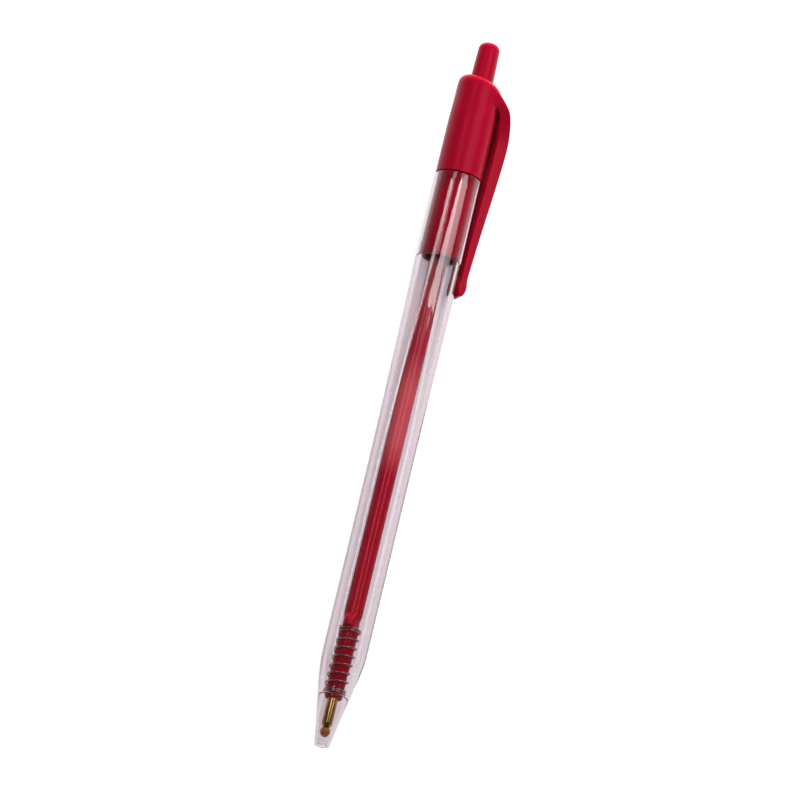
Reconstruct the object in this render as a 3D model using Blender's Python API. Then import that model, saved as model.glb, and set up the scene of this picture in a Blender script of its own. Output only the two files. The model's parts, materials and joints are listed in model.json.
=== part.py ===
"""Pushbutton ballpoint pen, at rest on a table with its point drawn in.

Every piece is modelled along the pen's own axis: the nose end is at height 0, the button is at the top
and the clip is towards +X. One empty then lays the pen down on its barrel and the edge of its clip.
"""

import math

import bmesh
import bpy
from mathutils import Matrix, Vector

# Clearances, in metres like every length here
FIT_GAP = 0.0001
RUN_GAP = 0.00015
THRUST_GAP = 0.00015
JOINT_GAP = 0.0003

# Refill
SEAL_SETBACK = 0.0019
SEAL_COVER = 0.0003
SEAL_RADIUS = 0.00098
SEAL_HALF_LENGTH = 0.0011
SEAL_REAR_TURN = math.radians(35.0)
SEAL_GAP = 0.00003
POINT_LENGTH = 0.00775
POINT_NECK_LENGTH = 0.0012
POINT_NECK_RADIUS = 0.0007
POINT_CONE_LENGTH = 0.0010
POINT_STUB_LENGTH = 0.0060
BALL_RADIUS = 0.0005
BALL_SHOWN = 0.0003
BALL_PLAY = 0.00003
SOCKET_LIP = 0.00014
TUBE_RADIUS = 0.0018
TUBE_WALL = 0.0007
EAR_LENGTH = 0.0010
EAR_WIDTH = math.radians(36.0)
INK_LENGTH = 0.0696

# Spring
WIRE_DIAMETER = 0.00037
SPRING_PLAY = 0.00013
SPRING_SPACE = 0.01425
SPRING_ACTIVE_TURNS = 7
SPRING_END_TURNS = 1.5
SPRING_END_GAP = 0.00045

# Barrel
BARREL_LENGTH = 0.1190
BARREL_WALL = 0.0010
BARREL_TOP_WALL = 0.0005
SOCKET_LEDGE = 0.00045
BORE_PLAY = 0.0002
CORNER_RADIUS = 0.0023
CORNER_TURN = math.radians(-41.0)
GRIP_END = 0.0570
FADE_LENGTH = 0.0620
SEAT_HEIGHT = 0.0103
NOSE_LENGTH = 0.0184
NOSE_SAG = 0.0001
NOSE_LAND = 0.0035
NOSE_LIP_WALL = 0.00034
NOSE_LIP_RADIUS = 0.0003
NOSE_STEP_LENGTH = 0.0006
TIP_PLAY = 0.00013

# Cap and its sleeve
CAP_HEIGHT = 0.0213
CAP_FOOT_RADIUS = 0.00465
CAP_TOP_RADIUS = 0.00448
CAP_SHOULDER = 0.0019
CAP_SLANT = math.radians(13.0)
CAP_SLANT_DEPTH = 0.0038
SLEEVE_DEPTH = 0.0172
SLEEVE_WALL = 0.0011
SLEEVE_CHAMFER = 0.0003
STOP_RISE = 0.0112
GUIDE_LAND = 0.0030
GROOVE_COUNT = 4
GROOVE_WIDTH = math.radians(53.0)

# Button and rotor
BUTTON_RADIUS = 0.0023
BUTTON_TIP_RADIUS = 0.0021
BUTTON_REACH = 0.0074
BUTTON_EDGE = 0.0014
BUTTON_EDGE_TURN = math.radians(80.0)
BUTTON_CROWN = 0.0002
BUTTON_BORE_RADIUS = 0.0012
BUTTON_CAP_THICKNESS = 0.0040
LUG_HEIGHT = 0.0005
LUG_LENGTH = 0.0042
LUG_SIDE_PLAY = math.radians(3.0)
PRESS_TRAVEL = 0.0060
TOOTH_COUNT = 8
TOOTH_HEIGHT = 0.0008
TOOTH_WALL_TURN = math.radians(3.0)
RIB_RELEASE = 0.0012
RIB_LENGTH = 0.0030
RIB_WIDTH = math.radians(14.0)
RIB_SIDE_PLAY = math.radians(2.0)
ROTOR_FOOT = 0.0006
ROTOR_HEAD = 0.0007
ROTOR_PIN_LENGTH = 0.0035

# Clip
CLIP_LENGTH = 0.0450
CLIP_ROOT_DROP = 0.0032
CLIP_LEAN_OUT = 0.5
CLIP_LEAN_DOWN = 0.2
CLIP_HANG = 0.46
CLIP_ROOT_WIDTH = 0.0060
CLIP_BOW_WIDTH = 0.0045
CLIP_FOOT_WIDTH = 0.0036
CLIP_BOW_DROP = 0.0136
CLIP_BOW_GAP = 0.0009
CLIP_BOW_THICKNESS = 0.00235
CLIP_WAIST_LIFT = 0.0054
CLIP_SWEEP = 0.6
CLIP_WAIST_GAP = 0.00035
CLIP_WAIST_THICKNESS = 0.0014
CLIP_FOOT_THICKNESS = 0.0019
CLIP_FOOT_LENGTH = 0.0036
CLIP_FOOT_GAP = 0.00015
CLIP_FOOT_START = math.radians(-60.0)
CLIP_FOOT_TURN = math.radians(135.0)
CLIP_STUB = 0.00035
CLIP_EDGE = 0.0004
CLIP_EDGE_SHARE = 0.45

# Facets
SIDES = 48
BARREL_SIDES = 60
POINTS_PER_TURN = 10
SHARP_ANGLE = math.radians(30.0)

# Radii that follow from the sizes above
TUBE_BORE_RADIUS = TUBE_RADIUS - TUBE_WALL
POINT_RADIUS = TUBE_BORE_RADIUS - FIT_GAP / 2
SPRING_RADIUS = TUBE_RADIUS + SPRING_PLAY + WIRE_DIAMETER / 2
SPRING_OUTER_RADIUS = SPRING_RADIUS + WIRE_DIAMETER / 2
TIP_HOLE_RADIUS = POINT_RADIUS + TIP_PLAY
NOSE_BORE_RADIUS = TUBE_RADIUS + RUN_GAP
NOSE_END_RADIUS = TIP_HOLE_RADIUS + NOSE_LIP_WALL
BORE_RADIUS = SPRING_OUTER_RADIUS + BORE_PLAY
FLAT_REACH = BORE_RADIUS + BARREL_WALL
CORNER_OFFSET = 2.0 * (FLAT_REACH - CORNER_RADIUS)
CORNER_REACH = CORNER_OFFSET + CORNER_RADIUS
GUIDE_RADIUS = BUTTON_RADIUS + RUN_GAP
LUG_RADIUS = BUTTON_RADIUS + LUG_HEIGHT
GROOVE_RADIUS = LUG_RADIUS + RUN_GAP
TURNING_RADIUS = GROOVE_RADIUS + FIT_GAP / 2
SLEEVE_RADIUS = TURNING_RADIUS + SLEEVE_WALL
SOCKET_RADIUS = SLEEVE_RADIUS + FIT_GAP
BARREL_TOP_RADIUS = SOCKET_RADIUS + BARREL_TOP_WALL
BORE_TOP_RADIUS = SOCKET_RADIUS - SOCKET_LEDGE
CROWN_RADIUS = BUTTON_RADIUS - FIT_GAP
CROWN_BORE_RADIUS = BUTTON_BORE_RADIUS + FIT_GAP

# Heights above the nose end that follow from the sizes above
REFILL_TRAVEL = PRESS_TRAVEL - TOOTH_HEIGHT
BALL_FRONT = SEAL_SETBACK + SEAL_COVER + SEAL_GAP
BALL_HEIGHT = BALL_FRONT + BALL_RADIUS
LIP_HEIGHT = BALL_FRONT + BALL_SHOWN
TUBE_FRONT = BALL_FRONT + POINT_LENGTH
STUB_TOP = TUBE_FRONT + POINT_STUB_LENGTH
SHOULDER = SEAT_HEIGHT + SPRING_SPACE
CAP_FOOT = BARREL_LENGTH + JOINT_GAP
CAP_RIM = CAP_FOOT + CAP_HEIGHT
SLEEVE_END = BARREL_LENGTH - SLEEVE_DEPTH
SOCKET_FLOOR = SLEEVE_END - JOINT_GAP
STOP_END = SLEEVE_END + STOP_RISE
GROOVE_TOP = CAP_RIM - GUIDE_LAND
BUTTON_TOP = CAP_RIM + BUTTON_REACH
RIB_TOP = STOP_END + REFILL_TRAVEL - RIB_RELEASE
RIB_FOOT = RIB_TOP - RIB_LENGTH
ROTOR_BASE = RIB_FOOT - ROTOR_FOOT
TUBE_TOP = ROTOR_BASE - THRUST_GAP
ROTOR_TOOTH_FOOT = RIB_TOP + ROTOR_HEAD
BUTTON_TOOTH_FOOT = ROTOR_TOOTH_FOOT + TOOTH_HEIGHT + THRUST_GAP
CLIP_END = CAP_RIM - CLIP_LENGTH

# Longer than any wall, for cutters that pass right through one
PASS = 0.0020

RED = (0.376, 0.002, 0.017, 1.0)
DEEP_RED = (0.250, 0.002, 0.012, 1.0)
PINK = (0.580, 0.080, 0.100, 1.0)
CLEAR = (0.850, 0.800, 0.830, 1.0)
BRASS = (0.480, 0.300, 0.085, 1.0)
STEEL = (0.450, 0.440, 0.430, 1.0)
CARBIDE = (0.200, 0.200, 0.210, 1.0)
AMBER = (0.270, 0.105, 0.040, 1.0)


def clear_scene():
    """Removes whatever the scene holds before the pen is made."""
    for obj in list(bpy.data.objects):
        bpy.data.objects.remove(obj, do_unlink=True)


def finish(name, colour, roughness, metallic=0.0, transmission=0.0):
    """A plain material in one colour."""
    made = bpy.data.materials.new(name)
    made.use_nodes = True
    surface = made.node_tree.nodes["Principled BSDF"]
    surface.inputs["Base Color"].default_value = colour
    surface.inputs["Roughness"].default_value = roughness
    surface.inputs["Metallic"].default_value = metallic
    surface.inputs["Transmission Weight"].default_value = transmission
    made.diffuse_color = colour
    return made


def empty(name, parent=None, location=(0.0, 0.0, 0.0)):
    """An empty that carries pieces."""
    made = bpy.data.objects.new(name, None)
    bpy.context.scene.collection.objects.link(made)
    made.parent = parent
    made.location = location
    return made


def piece(name, shape, parent, material=None):
    """An object of the given mesh. The origin of a piece is its parent's."""
    mesh = bpy.data.meshes.new(name)
    shape.to_mesh(mesh)
    shape.free()
    mesh.shade_smooth()
    mesh.set_sharp_from_angle(angle=SHARP_ANGLE)
    made = bpy.data.objects.new(name, mesh)
    bpy.context.scene.collection.objects.link(made)
    made.parent = parent
    if material:
        mesh.materials.append(material)
    return made


def combine(target, shape, operation):
    """Joins a shape to a piece, cuts it away or keeps what they share."""
    tool = piece(f"{target.name}_tool_{len(target.modifiers)}", shape, target.parent)
    tool.hide_render = True
    tool.display_type = "WIRE"
    step = target.modifiers.new(tool.name, "BOOLEAN")
    step.operation = operation
    step.object = tool
    step.solver = "EXACT"


def loft(rings, closed=False):
    """A skin over rings of as many points each, with its ends filled unless the rings go round."""
    shape = bmesh.new()
    rows = [[shape.verts.new(point) for point in ring] for ring in rings]
    pairs = list(zip(rows, rows[1:]))
    if closed:
        pairs.append((rows[-1], rows[0]))
    else:
        shape.faces.new(rows[0])
        shape.faces.new(rows[-1])
    for low, high in pairs:
        for i in range(len(low)):
            j = (i + 1) % len(low)
            shape.faces.new((low[i], low[j], high[j], high[i]))
    bmesh.ops.recalc_face_normals(shape, faces=shape.faces)
    return shape


def turned(profile, ring=False):
    """A profile of (radius, height) points spun round the axis. A ring's profile is a closed outline."""
    shape = bmesh.new()
    points = [shape.verts.new((radius, 0.0, height)) for radius, height in profile]
    edges = [shape.edges.new(pair) for pair in zip(points, points[1:])]
    if ring:
        edges.append(shape.edges.new((points[-1], points[0])))
    bmesh.ops.spin(
        shape,
        geom=points + edges,
        cent=(0.0, 0.0, 0.0),
        axis=(0.0, 0.0, 1.0),
        angle=math.tau,
        steps=SIDES,
        use_merge=True,
    )
    bmesh.ops.remove_doubles(shape, verts=shape.verts, dist=1e-8)
    bmesh.ops.recalc_face_normals(shape, faces=shape.faces)
    return shape


def arc(centre, radius, start, end, steps):
    """Points along an arc in the plane of a profile, its ends included."""
    angles = [start + (end - start) * i / steps for i in range(steps + 1)]
    return [(centre[0] + radius * math.cos(a), centre[1] + radius * math.sin(a)) for a in angles]


def polar(radius, angle, height):
    """A point at a radius and an angle about the axis."""
    return (radius * math.cos(angle), radius * math.sin(angle), height)


def sector(inner, outer, low, high, start, width, steps=6):
    """A block between two radii, two heights and two angles."""
    rings = []
    for i in range(steps + 1):
        angle = start + width * i / steps
        corners = ((inner, low), (outer, low), (outer, high), (inner, high))
        rings.append([polar(radius, angle, height) for radius, height in corners])
    return loft(rings)


def saw_crown(inner, outer, flat, tooth_foot):
    """A ring with one flat end and saw teeth at the other, each rising anticlockwise and then dropping."""
    pitch = math.tau / TOOTH_COUNT
    ramp = pitch - TOOTH_WALL_TURN
    steps = 4
    columns = []
    for tooth in range(TOOTH_COUNT):
        for i in range(steps + 1):
            angle = tooth * pitch + ramp * i / steps
            height = tooth_foot + TOOTH_HEIGHT * i / steps
            corners = ((inner, flat), (outer, flat), (outer, height), (inner, height))
            columns.append([polar(radius, angle, level) for radius, level in corners])
    return loft(columns, closed=True)


def smooth(share):
    """Eases from 0 to 1 with no slope at either end."""
    share = min(max(share, 0.0), 1.0)
    return share * share * (3.0 - 2.0 * share)


def side_reach(height, angle, corner_radius, top_radius):
    """How far a side is from the axis: a rounded triangle over the grip that fades to a circle."""
    fade = smooth((height - GRIP_END) / FADE_LENGTH)
    radius = corner_radius + fade * (top_radius - corner_radius)
    offset = CORNER_OFFSET * (1.0 - fade)
    third = math.tau / 3.0
    turn = (angle - CORNER_TURN + third / 2.0) % third - third / 2.0
    corner_turn = math.atan2(radius * math.sin(third / 2.0), offset + radius * math.cos(third / 2.0))
    if abs(turn) > corner_turn:
        return (offset / 2.0 + radius) / math.cos(third / 2.0 - abs(turn))
    return offset * math.cos(turn) + math.sqrt(radius**2 - (offset * math.sin(turn)) ** 2)


def barrel_reach(height, angle):
    """How far the barrel's outside is from the axis, without its nose."""
    return side_reach(height, angle, CORNER_RADIUS, BARREL_TOP_RADIUS)


def nose_reach(height):
    """How far the nose's cone is from the axis."""
    share = (height - NOSE_LIP_RADIUS) / (NOSE_LENGTH - NOSE_LIP_RADIUS)
    sag = 4.0 * NOSE_SAG * share * (1.0 - share)
    return NOSE_END_RADIUS + (CORNER_REACH - NOSE_END_RADIUS) * share - sag


def bore_reach(height, angle):
    """How far the bore is from the axis: a wall inside the outside, with room for the spring all round."""
    side = side_reach(height, angle, CORNER_RADIUS - BARREL_WALL, BORE_TOP_RADIUS)
    if height < NOSE_LENGTH:
        side = min(side, nose_reach(height) - BARREL_WALL)
    return max(side, BORE_RADIUS)


def barrel_rings(heights, reach):
    """Outlines of the barrel's outside or bore at some heights."""
    angles = [CORNER_TURN + math.tau * i / BARREL_SIDES for i in range(BARREL_SIDES)]
    return [[polar(reach(height, angle), angle, height) for angle in angles] for height in heights]


def spaced(start, end, steps):
    """Heights from one to another, both included."""
    return [start + (end - start) * i / steps for i in range(steps + 1)]


def nose_outline():
    """The nose's turned outline, from the axis at its end out past the barrel's corners."""
    lip = NOSE_END_RADIUS - NOSE_LIP_RADIUS
    outline = [(0.0, 0.0)]
    outline += arc((lip, NOSE_LIP_RADIUS), NOSE_LIP_RADIUS, -math.pi / 2.0, 0.0, 4)
    outline += [(nose_reach(height), height) for height in spaced(NOSE_LIP_RADIUS, NOSE_LENGTH, 6)[1:]]
    wide = max(CORNER_REACH, BARREL_TOP_RADIUS) + PASS
    outline += [(wide, NOSE_LENGTH + PASS), (wide, BARREL_LENGTH + PASS), (0.0, BARREL_LENGTH + PASS)]
    return outline


def make_barrel(pen):
    """The clear barrel, with its nose hole, its spring seat and the socket for the cap's sleeve."""
    body = loft(barrel_rings([-PASS] + spaced(GRIP_END, BARREL_LENGTH, 10), barrel_reach))
    barrel = piece("barrel", body, pen, finish("clear_plastic", CLEAR, 0.06, transmission=0.9))
    combine(barrel, turned(nose_outline()), "INTERSECT")
    tip = [
        (0.0, -PASS),
        (TIP_HOLE_RADIUS, -PASS),
        (TIP_HOLE_RADIUS, NOSE_LAND),
        (NOSE_BORE_RADIUS, NOSE_LAND + NOSE_STEP_LENGTH),
        (NOSE_BORE_RADIUS, SEAT_HEIGHT + PASS),
        (0.0, SEAT_HEIGHT + PASS),
    ]
    socket = [
        (0.0, SOCKET_FLOOR),
        (SOCKET_RADIUS, SOCKET_FLOOR),
        (SOCKET_RADIUS, BARREL_LENGTH + PASS),
        (0.0, BARREL_LENGTH + PASS),
    ]
    heights = spaced(SEAT_HEIGHT, NOSE_LENGTH, 4) + spaced(GRIP_END, SOCKET_FLOOR + PASS, 8)
    combine(barrel, loft(barrel_rings(heights, bore_reach)), "DIFFERENCE")
    combine(barrel, turned(socket), "DIFFERENCE")
    combine(barrel, turned(tip), "DIFFERENCE")


def groove_start(index):
    """The angle at which a guide groove starts."""
    return index * math.tau / GROOVE_COUNT


def clip_curve(share):
    """The clip's centre line from its root in the cap (0) to its bow (1), as (reach, height)."""
    bow = CAP_FOOT_RADIUS + CLIP_BOW_GAP + CLIP_BOW_THICKNESS / 2.0
    start = Vector((GROOVE_RADIUS + JOINT_GAP, CAP_RIM - CLIP_ROOT_DROP))
    end = Vector((bow, CAP_RIM - CLIP_BOW_DROP))
    run = end - start
    lean = start + Vector((run.x * CLIP_LEAN_OUT, run.y * CLIP_LEAN_DOWN))
    hang = end - Vector((0.0, run.y * CLIP_HANG))
    rest = 1.0 - share
    return rest**3 * start + 3 * rest**2 * share * lean + 3 * rest * share**2 * hang + share**3 * end


def clip_way(share):
    """The direction of the clip's curve, scaled to its length for a whole share."""
    step = 1e-4
    return (clip_curve(share) - clip_curve(share - step)) / step


def clip_split():
    """The share of the clip's curve at which the arm, thick as it is, comes clear of the cap's side."""
    low, high = 0.0, 1.0
    for _ in range(40):
        middle = (low + high) / 2.0
        way = clip_way(middle).normalized()
        underside = clip_curve(middle).x + way.y * CLIP_BOW_THICKNESS / 2.0
        if underside < CAP_FOOT_RADIUS + CLIP_STUB:
            low = middle
        else:
            high = middle
    return low


def clip_tail():
    """Centre points below the bow with their thickness: down to the waist, then round the foot."""
    bow = clip_curve(1.0)
    waist_height = CLIP_END + CLIP_WAIST_LIFT
    waist_side = barrel_reach(waist_height, 0.0) + CLIP_WAIST_GAP
    waist = Vector((waist_side + CLIP_WAIST_THICKNESS / 2.0, waist_height))
    points = []
    steps = 7
    for i in range(1, steps + 1):
        share = i / steps
        ease = smooth(share) * CLIP_SWEEP + share * (1.0 - CLIP_SWEEP)
        height = bow.y + (waist.y - bow.y) * share
        thickness = CLIP_BOW_THICKNESS + (CLIP_WAIST_THICKNESS - CLIP_BOW_THICKNESS) * share
        points.append((Vector((bow.x + (waist.x - bow.x) * ease, height)), thickness))
    half = CLIP_FOOT_LENGTH / 2.0
    foot_height = CLIP_END + half
    touch = barrel_reach(foot_height, 0.0) + CLIP_FOOT_GAP
    foot = touch + CLIP_FOOT_THICKNESS / 2.0
    foot_steps = 5
    for i in range(foot_steps + 1):
        angle = CLIP_FOOT_START + CLIP_FOOT_TURN * i / foot_steps
        lift = half * math.sin(angle)
        full = CLIP_FOOT_THICKNESS * math.cos(angle)
        thickness = max(full, CLIP_WAIST_THICKNESS) if angle < 0.0 else full
        points.append((Vector((foot, foot_height - lift)), thickness))
    return points


def clip_section(centre, along, thickness, width):
    """A rounded rectangle across the clip: its thickness lies in the clip's plane and its width along Y."""
    out = Vector((-along.y, along.x))
    if out.x < 0.0:
        out = -out
    edge = min(CLIP_EDGE, CLIP_EDGE_SHARE * thickness)
    ring = []
    for corner in range(4):
        side = (1, 1, -1, -1)[corner]
        face = (1, -1, -1, 1)[corner]
        for step in range(3):
            angle = -math.pi / 2.0 * corner + math.pi / 4.0 * (1 - step) + math.pi / 4.0
            across = face * (thickness / 2.0 - edge) + edge * math.sin(angle)
            sideways = side * (width / 2.0 - edge) + edge * math.cos(angle)
            spot = centre + out * across
            ring.append((spot.x, sideways, spot.y))
    return ring


def clip_width(height):
    """The clip's width at a height: it narrows from its root to its bow and on to its foot."""
    bow = CAP_RIM - CLIP_BOW_DROP
    if height > bow:
        share = smooth((CAP_RIM - height) / CLIP_BOW_DROP)
        return CLIP_ROOT_WIDTH + (CLIP_BOW_WIDTH - CLIP_ROOT_WIDTH) * share
    return CLIP_BOW_WIDTH + (CLIP_FOOT_WIDTH - CLIP_BOW_WIDTH) * (bow - height) / (bow - CLIP_END)


def clip_loft(stations):
    """Sections across the clip at (centre, thickness) stations."""
    rings = []
    for i, (centre, thickness) in enumerate(stations):
        before = stations[max(i - 1, 0)][0]
        after = stations[min(i + 1, len(stations) - 1)][0]
        rings.append(clip_section(centre, (after - before).normalized(), thickness, clip_width(centre.y)))
    return rings


def clip_arch(first, last, steps):
    """Stations along the upper curve of the clip."""
    shares = [first + (last - first) * i / steps for i in range(steps + 1)]
    return [(clip_curve(share), CLIP_BOW_THICKNESS) for share in shares]


def gap_share():
    """Half the gap between stub and arm, as a share of the clip's curve at the split."""
    return JOINT_GAP / 2.0 / clip_way(clip_split()).length


def slant_top(shape):
    """Lowers the cap's top towards the clip, the more the nearer to the rim."""
    for vertex in shape.verts:
        share = (vertex.co.z - CAP_RIM + CAP_SLANT_DEPTH) / CAP_SLANT_DEPTH
        reach = max(vertex.co.x + GUIDE_RADIUS, 0.0)
        vertex.co.z -= math.tan(CAP_SLANT) * reach * max(share, 0.0)


def make_cap(pen, red):
    """The cap with its sleeve in one moulding: guide grooves for the lugs and ribs, and the clip's stub."""
    shoulder_centre = (CAP_TOP_RADIUS - CAP_SHOULDER, CAP_RIM - CAP_SHOULDER)
    outline = [
        (TURNING_RADIUS, SLEEVE_END),
        (SLEEVE_RADIUS - SLEEVE_CHAMFER, SLEEVE_END),
        (SLEEVE_RADIUS, SLEEVE_END + SLEEVE_CHAMFER),
        (SLEEVE_RADIUS, CAP_FOOT),
        (CAP_FOOT_RADIUS, CAP_FOOT),
    ]
    outline += arc(shoulder_centre, CAP_SHOULDER, 0.0, math.pi / 2.0, 8)
    outline += [(GUIDE_RADIUS, CAP_RIM), (GUIDE_RADIUS, STOP_END), (TURNING_RADIUS, STOP_END)]
    body = turned(outline, ring=True)
    slant_top(body)
    cap = piece("clip_cap", body, pen, red)
    stub = clip_arch(0.0, clip_split() - gap_share(), 3)
    combine(cap, loft(clip_loft(stub)), "UNION")
    low = STOP_END - PASS
    for index in range(GROOVE_COUNT):
        start = groove_start(index)
        groove = sector(BUTTON_BORE_RADIUS, GROOVE_RADIUS, low, GROOVE_TOP, start, GROOVE_WIDTH)
        combine(cap, groove, "DIFFERENCE")


def make_clip(pen, red):
    """The clip's arm, hung at the end of the cap's stub, where it bends."""
    root = clip_curve(clip_split())
    hinge = empty("clip_hinge", pen, (root.x, 0.0, root.y))
    stations = clip_arch(clip_split() + gap_share(), 1.0, 7) + clip_tail()
    shape = loft(clip_loft(stations))
    bmesh.ops.translate(shape, verts=shape.verts, vec=-hinge.location)
    piece("clip_arm", shape, hinge, red)
    return hinge


def make_button(pen, red):
    """The button: a domed shaft, hollow from below, with four lugs in the grooves and a toothed lower end."""
    crown_edge = (BUTTON_TIP_RADIUS - BUTTON_EDGE, BUTTON_TOP - BUTTON_CROWN - BUTTON_EDGE)
    skirt = BUTTON_TOOTH_FOOT + TOOTH_HEIGHT + JOINT_GAP
    bore_top = BUTTON_TOP - BUTTON_CAP_THICKNESS
    outline = [
        (0.0, bore_top),
        (BUTTON_BORE_RADIUS, bore_top - BUTTON_BORE_RADIUS / 2.0),
        (BUTTON_BORE_RADIUS, skirt),
        (BUTTON_RADIUS, skirt),
        (BUTTON_RADIUS, CAP_RIM),
    ]
    outline += arc(crown_edge, BUTTON_EDGE, 0.0, BUTTON_EDGE_TURN, 6)
    outline.append((0.0, BUTTON_TOP))
    button = piece("push_button", turned(outline), pen, red)
    lug_top = GROOVE_TOP - RUN_GAP
    lug_width = GROOVE_WIDTH - 2.0 * LUG_SIDE_PLAY
    wall = (BUTTON_BORE_RADIUS + BUTTON_RADIUS) / 2.0
    for index in range(GROOVE_COUNT):
        start = groove_start(index) + LUG_SIDE_PLAY
        lug = sector(wall, LUG_RADIUS, lug_top - LUG_LENGTH, lug_top, start, lug_width)
        combine(button, lug, "UNION")
    crown = saw_crown(CROWN_BORE_RADIUS, CROWN_RADIUS, skirt + PASS, BUTTON_TOOTH_FOOT)
    combine(button, crown, "UNION")


def make_rotor(pen, red):
    """The rotor: ribs that ride in the grooves, teeth under the button's and a pin in the refill's tube."""
    pin = TUBE_BORE_RADIUS - FIT_GAP
    body = [
        (0.0, TUBE_TOP - ROTOR_PIN_LENGTH),
        (pin, TUBE_TOP - ROTOR_PIN_LENGTH),
        (pin, ROTOR_BASE),
        (BUTTON_RADIUS, ROTOR_BASE),
        (BUTTON_RADIUS, RIB_TOP),
        (0.0, RIB_TOP),
    ]
    rotor = piece("rotor_cam", turned(body), pen, red)
    for index in range(GROOVE_COUNT):
        start = groove_start(index) + RIB_SIDE_PLAY
        combine(rotor, sector(pin, LUG_RADIUS, RIB_FOOT, RIB_TOP - FIT_GAP, start, RIB_WIDTH), "UNION")
    crown = saw_crown(CROWN_BORE_RADIUS, CROWN_RADIUS, RIB_TOP - RIB_LENGTH / 2.0, ROTOR_TOOTH_FOOT)
    combine(rotor, crown, "UNION")


def make_point(pen):
    """The brass point with its ball and, over both, the wax bead that a new refill carries."""
    socket = BALL_RADIUS + BALL_PLAY
    lip_radius = math.sqrt(socket**2 - (BALL_HEIGHT - LIP_HEIGHT) ** 2) + SOCKET_LIP
    neck = LIP_HEIGHT + POINT_NECK_LENGTH
    point = [
        (0.0, LIP_HEIGHT),
        (lip_radius, LIP_HEIGHT),
        (POINT_NECK_RADIUS, neck),
        (POINT_RADIUS, neck + POINT_CONE_LENGTH),
        (POINT_RADIUS, STUB_TOP),
        (0.0, STUB_TOP),
    ]
    housing = piece("point_housing", turned(point), pen, finish("brass", BRASS, 0.3, metallic=1.0))
    ball_place = Matrix.Translation((0.0, 0.0, BALL_HEIGHT))
    cup = bmesh.new()
    bmesh.ops.create_uvsphere(cup, u_segments=24, v_segments=16, radius=socket, matrix=ball_place)
    combine(housing, cup, "DIFFERENCE")

    ball = bmesh.new()
    bmesh.ops.create_uvsphere(ball, u_segments=20, v_segments=12, radius=BALL_RADIUS)
    roller = empty("ball_centre", pen, (0.0, 0.0, BALL_HEIGHT))
    piece("writing_ball", ball, roller, finish("carbide", CARBIDE, 0.15, metallic=1.0))

    oval = arc((0.0, 0.0), 1.0, -math.pi / 2.0, SEAL_REAR_TURN, 9)
    middle = SEAL_SETBACK + SEAL_HALF_LENGTH
    seal = [(SEAL_RADIUS * across, middle + SEAL_HALF_LENGTH * along) for across, along in oval]
    rear = seal[-1][1]
    taper = (POINT_NECK_RADIUS - lip_radius) / POINT_NECK_LENGTH
    cavity = BALL_RADIUS + SEAL_GAP
    rim = LIP_HEIGHT - SEAL_GAP
    seal.append((lip_radius + taper * (rear - LIP_HEIGHT) + SEAL_GAP, rear))
    seal.append((lip_radius + SEAL_GAP, rim))
    seal += arc((0.0, BALL_HEIGHT), cavity, math.asin((rim - BALL_HEIGHT) / cavity), -math.pi / 2.0, 5)
    piece("tip_seal", turned(seal), pen, finish("amber_wax", AMBER, 0.3))
    return roller


def make_refill(pen):
    """The refill's tube, with two ears pinched out of its wall for the spring, and the ink in it."""
    tube = [
        (TUBE_BORE_RADIUS, TUBE_FRONT),
        (TUBE_RADIUS, TUBE_FRONT),
        (TUBE_RADIUS, TUBE_TOP),
        (TUBE_BORE_RADIUS, TUBE_TOP),
    ]
    pink = finish("tinted_tube", PINK, 0.2, transmission=0.6)
    body = piece("refill_tube", turned(tube, ring=True), pen, pink)
    wall = (TUBE_BORE_RADIUS + TUBE_RADIUS) / 2.0
    ear_top = SHOULDER + EAR_LENGTH
    for side in (-1.0, 1.0):
        start = CORNER_TURN + side * math.pi / 2.0 - EAR_WIDTH / 2.0
        combine(body, sector(wall, SPRING_OUTER_RADIUS, SHOULDER, ear_top, start, EAR_WIDTH), "UNION")

    ink_radius = TUBE_BORE_RADIUS - FIT_GAP / 2.0
    ink_foot = STUB_TOP + FIT_GAP
    ink = [
        (0.0, ink_foot),
        (ink_radius, ink_foot),
        (ink_radius, ink_foot + INK_LENGTH),
        (0.0, ink_foot + INK_LENGTH - ink_radius / 2.0),
    ]
    piece("ink_column", turned(ink), pen, finish("red_ink", DEEP_RED, 0.1))


def spring_points():
    """Points up the spring's centre line: close turns at both ends and open ones between."""
    end_pitch = WIRE_DIAMETER + SPRING_END_GAP
    start = SEAT_HEIGHT + THRUST_GAP + WIRE_DIAMETER / 2.0
    height = SPRING_SPACE - 2.0 * THRUST_GAP - WIRE_DIAMETER
    open_pitch = (height - 2.0 * SPRING_END_TURNS * end_pitch) / SPRING_ACTIVE_TURNS
    turns = SPRING_ACTIVE_TURNS + 2.0 * SPRING_END_TURNS
    count = round(turns * POINTS_PER_TURN)
    points = []
    for i in range(count + 1):
        turn = turns * i / count
        low = min(turn, SPRING_END_TURNS)
        high = max(turn - SPRING_END_TURNS - SPRING_ACTIVE_TURNS, 0.0)
        rise = end_pitch * (low + high) + open_pitch * (turn - low - high)
        points.append(Vector(polar(SPRING_RADIUS, math.tau * turn, start + rise)))
    return points


def least_gap(points):
    """The least gap between turns of the wire, measured from point to point."""
    near = POINTS_PER_TURN // 2
    spans = [
        (first - second).length
        for i, first in enumerate(points)
        for second in points[i + near :]
    ]
    return min(spans) - WIRE_DIAMETER


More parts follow.
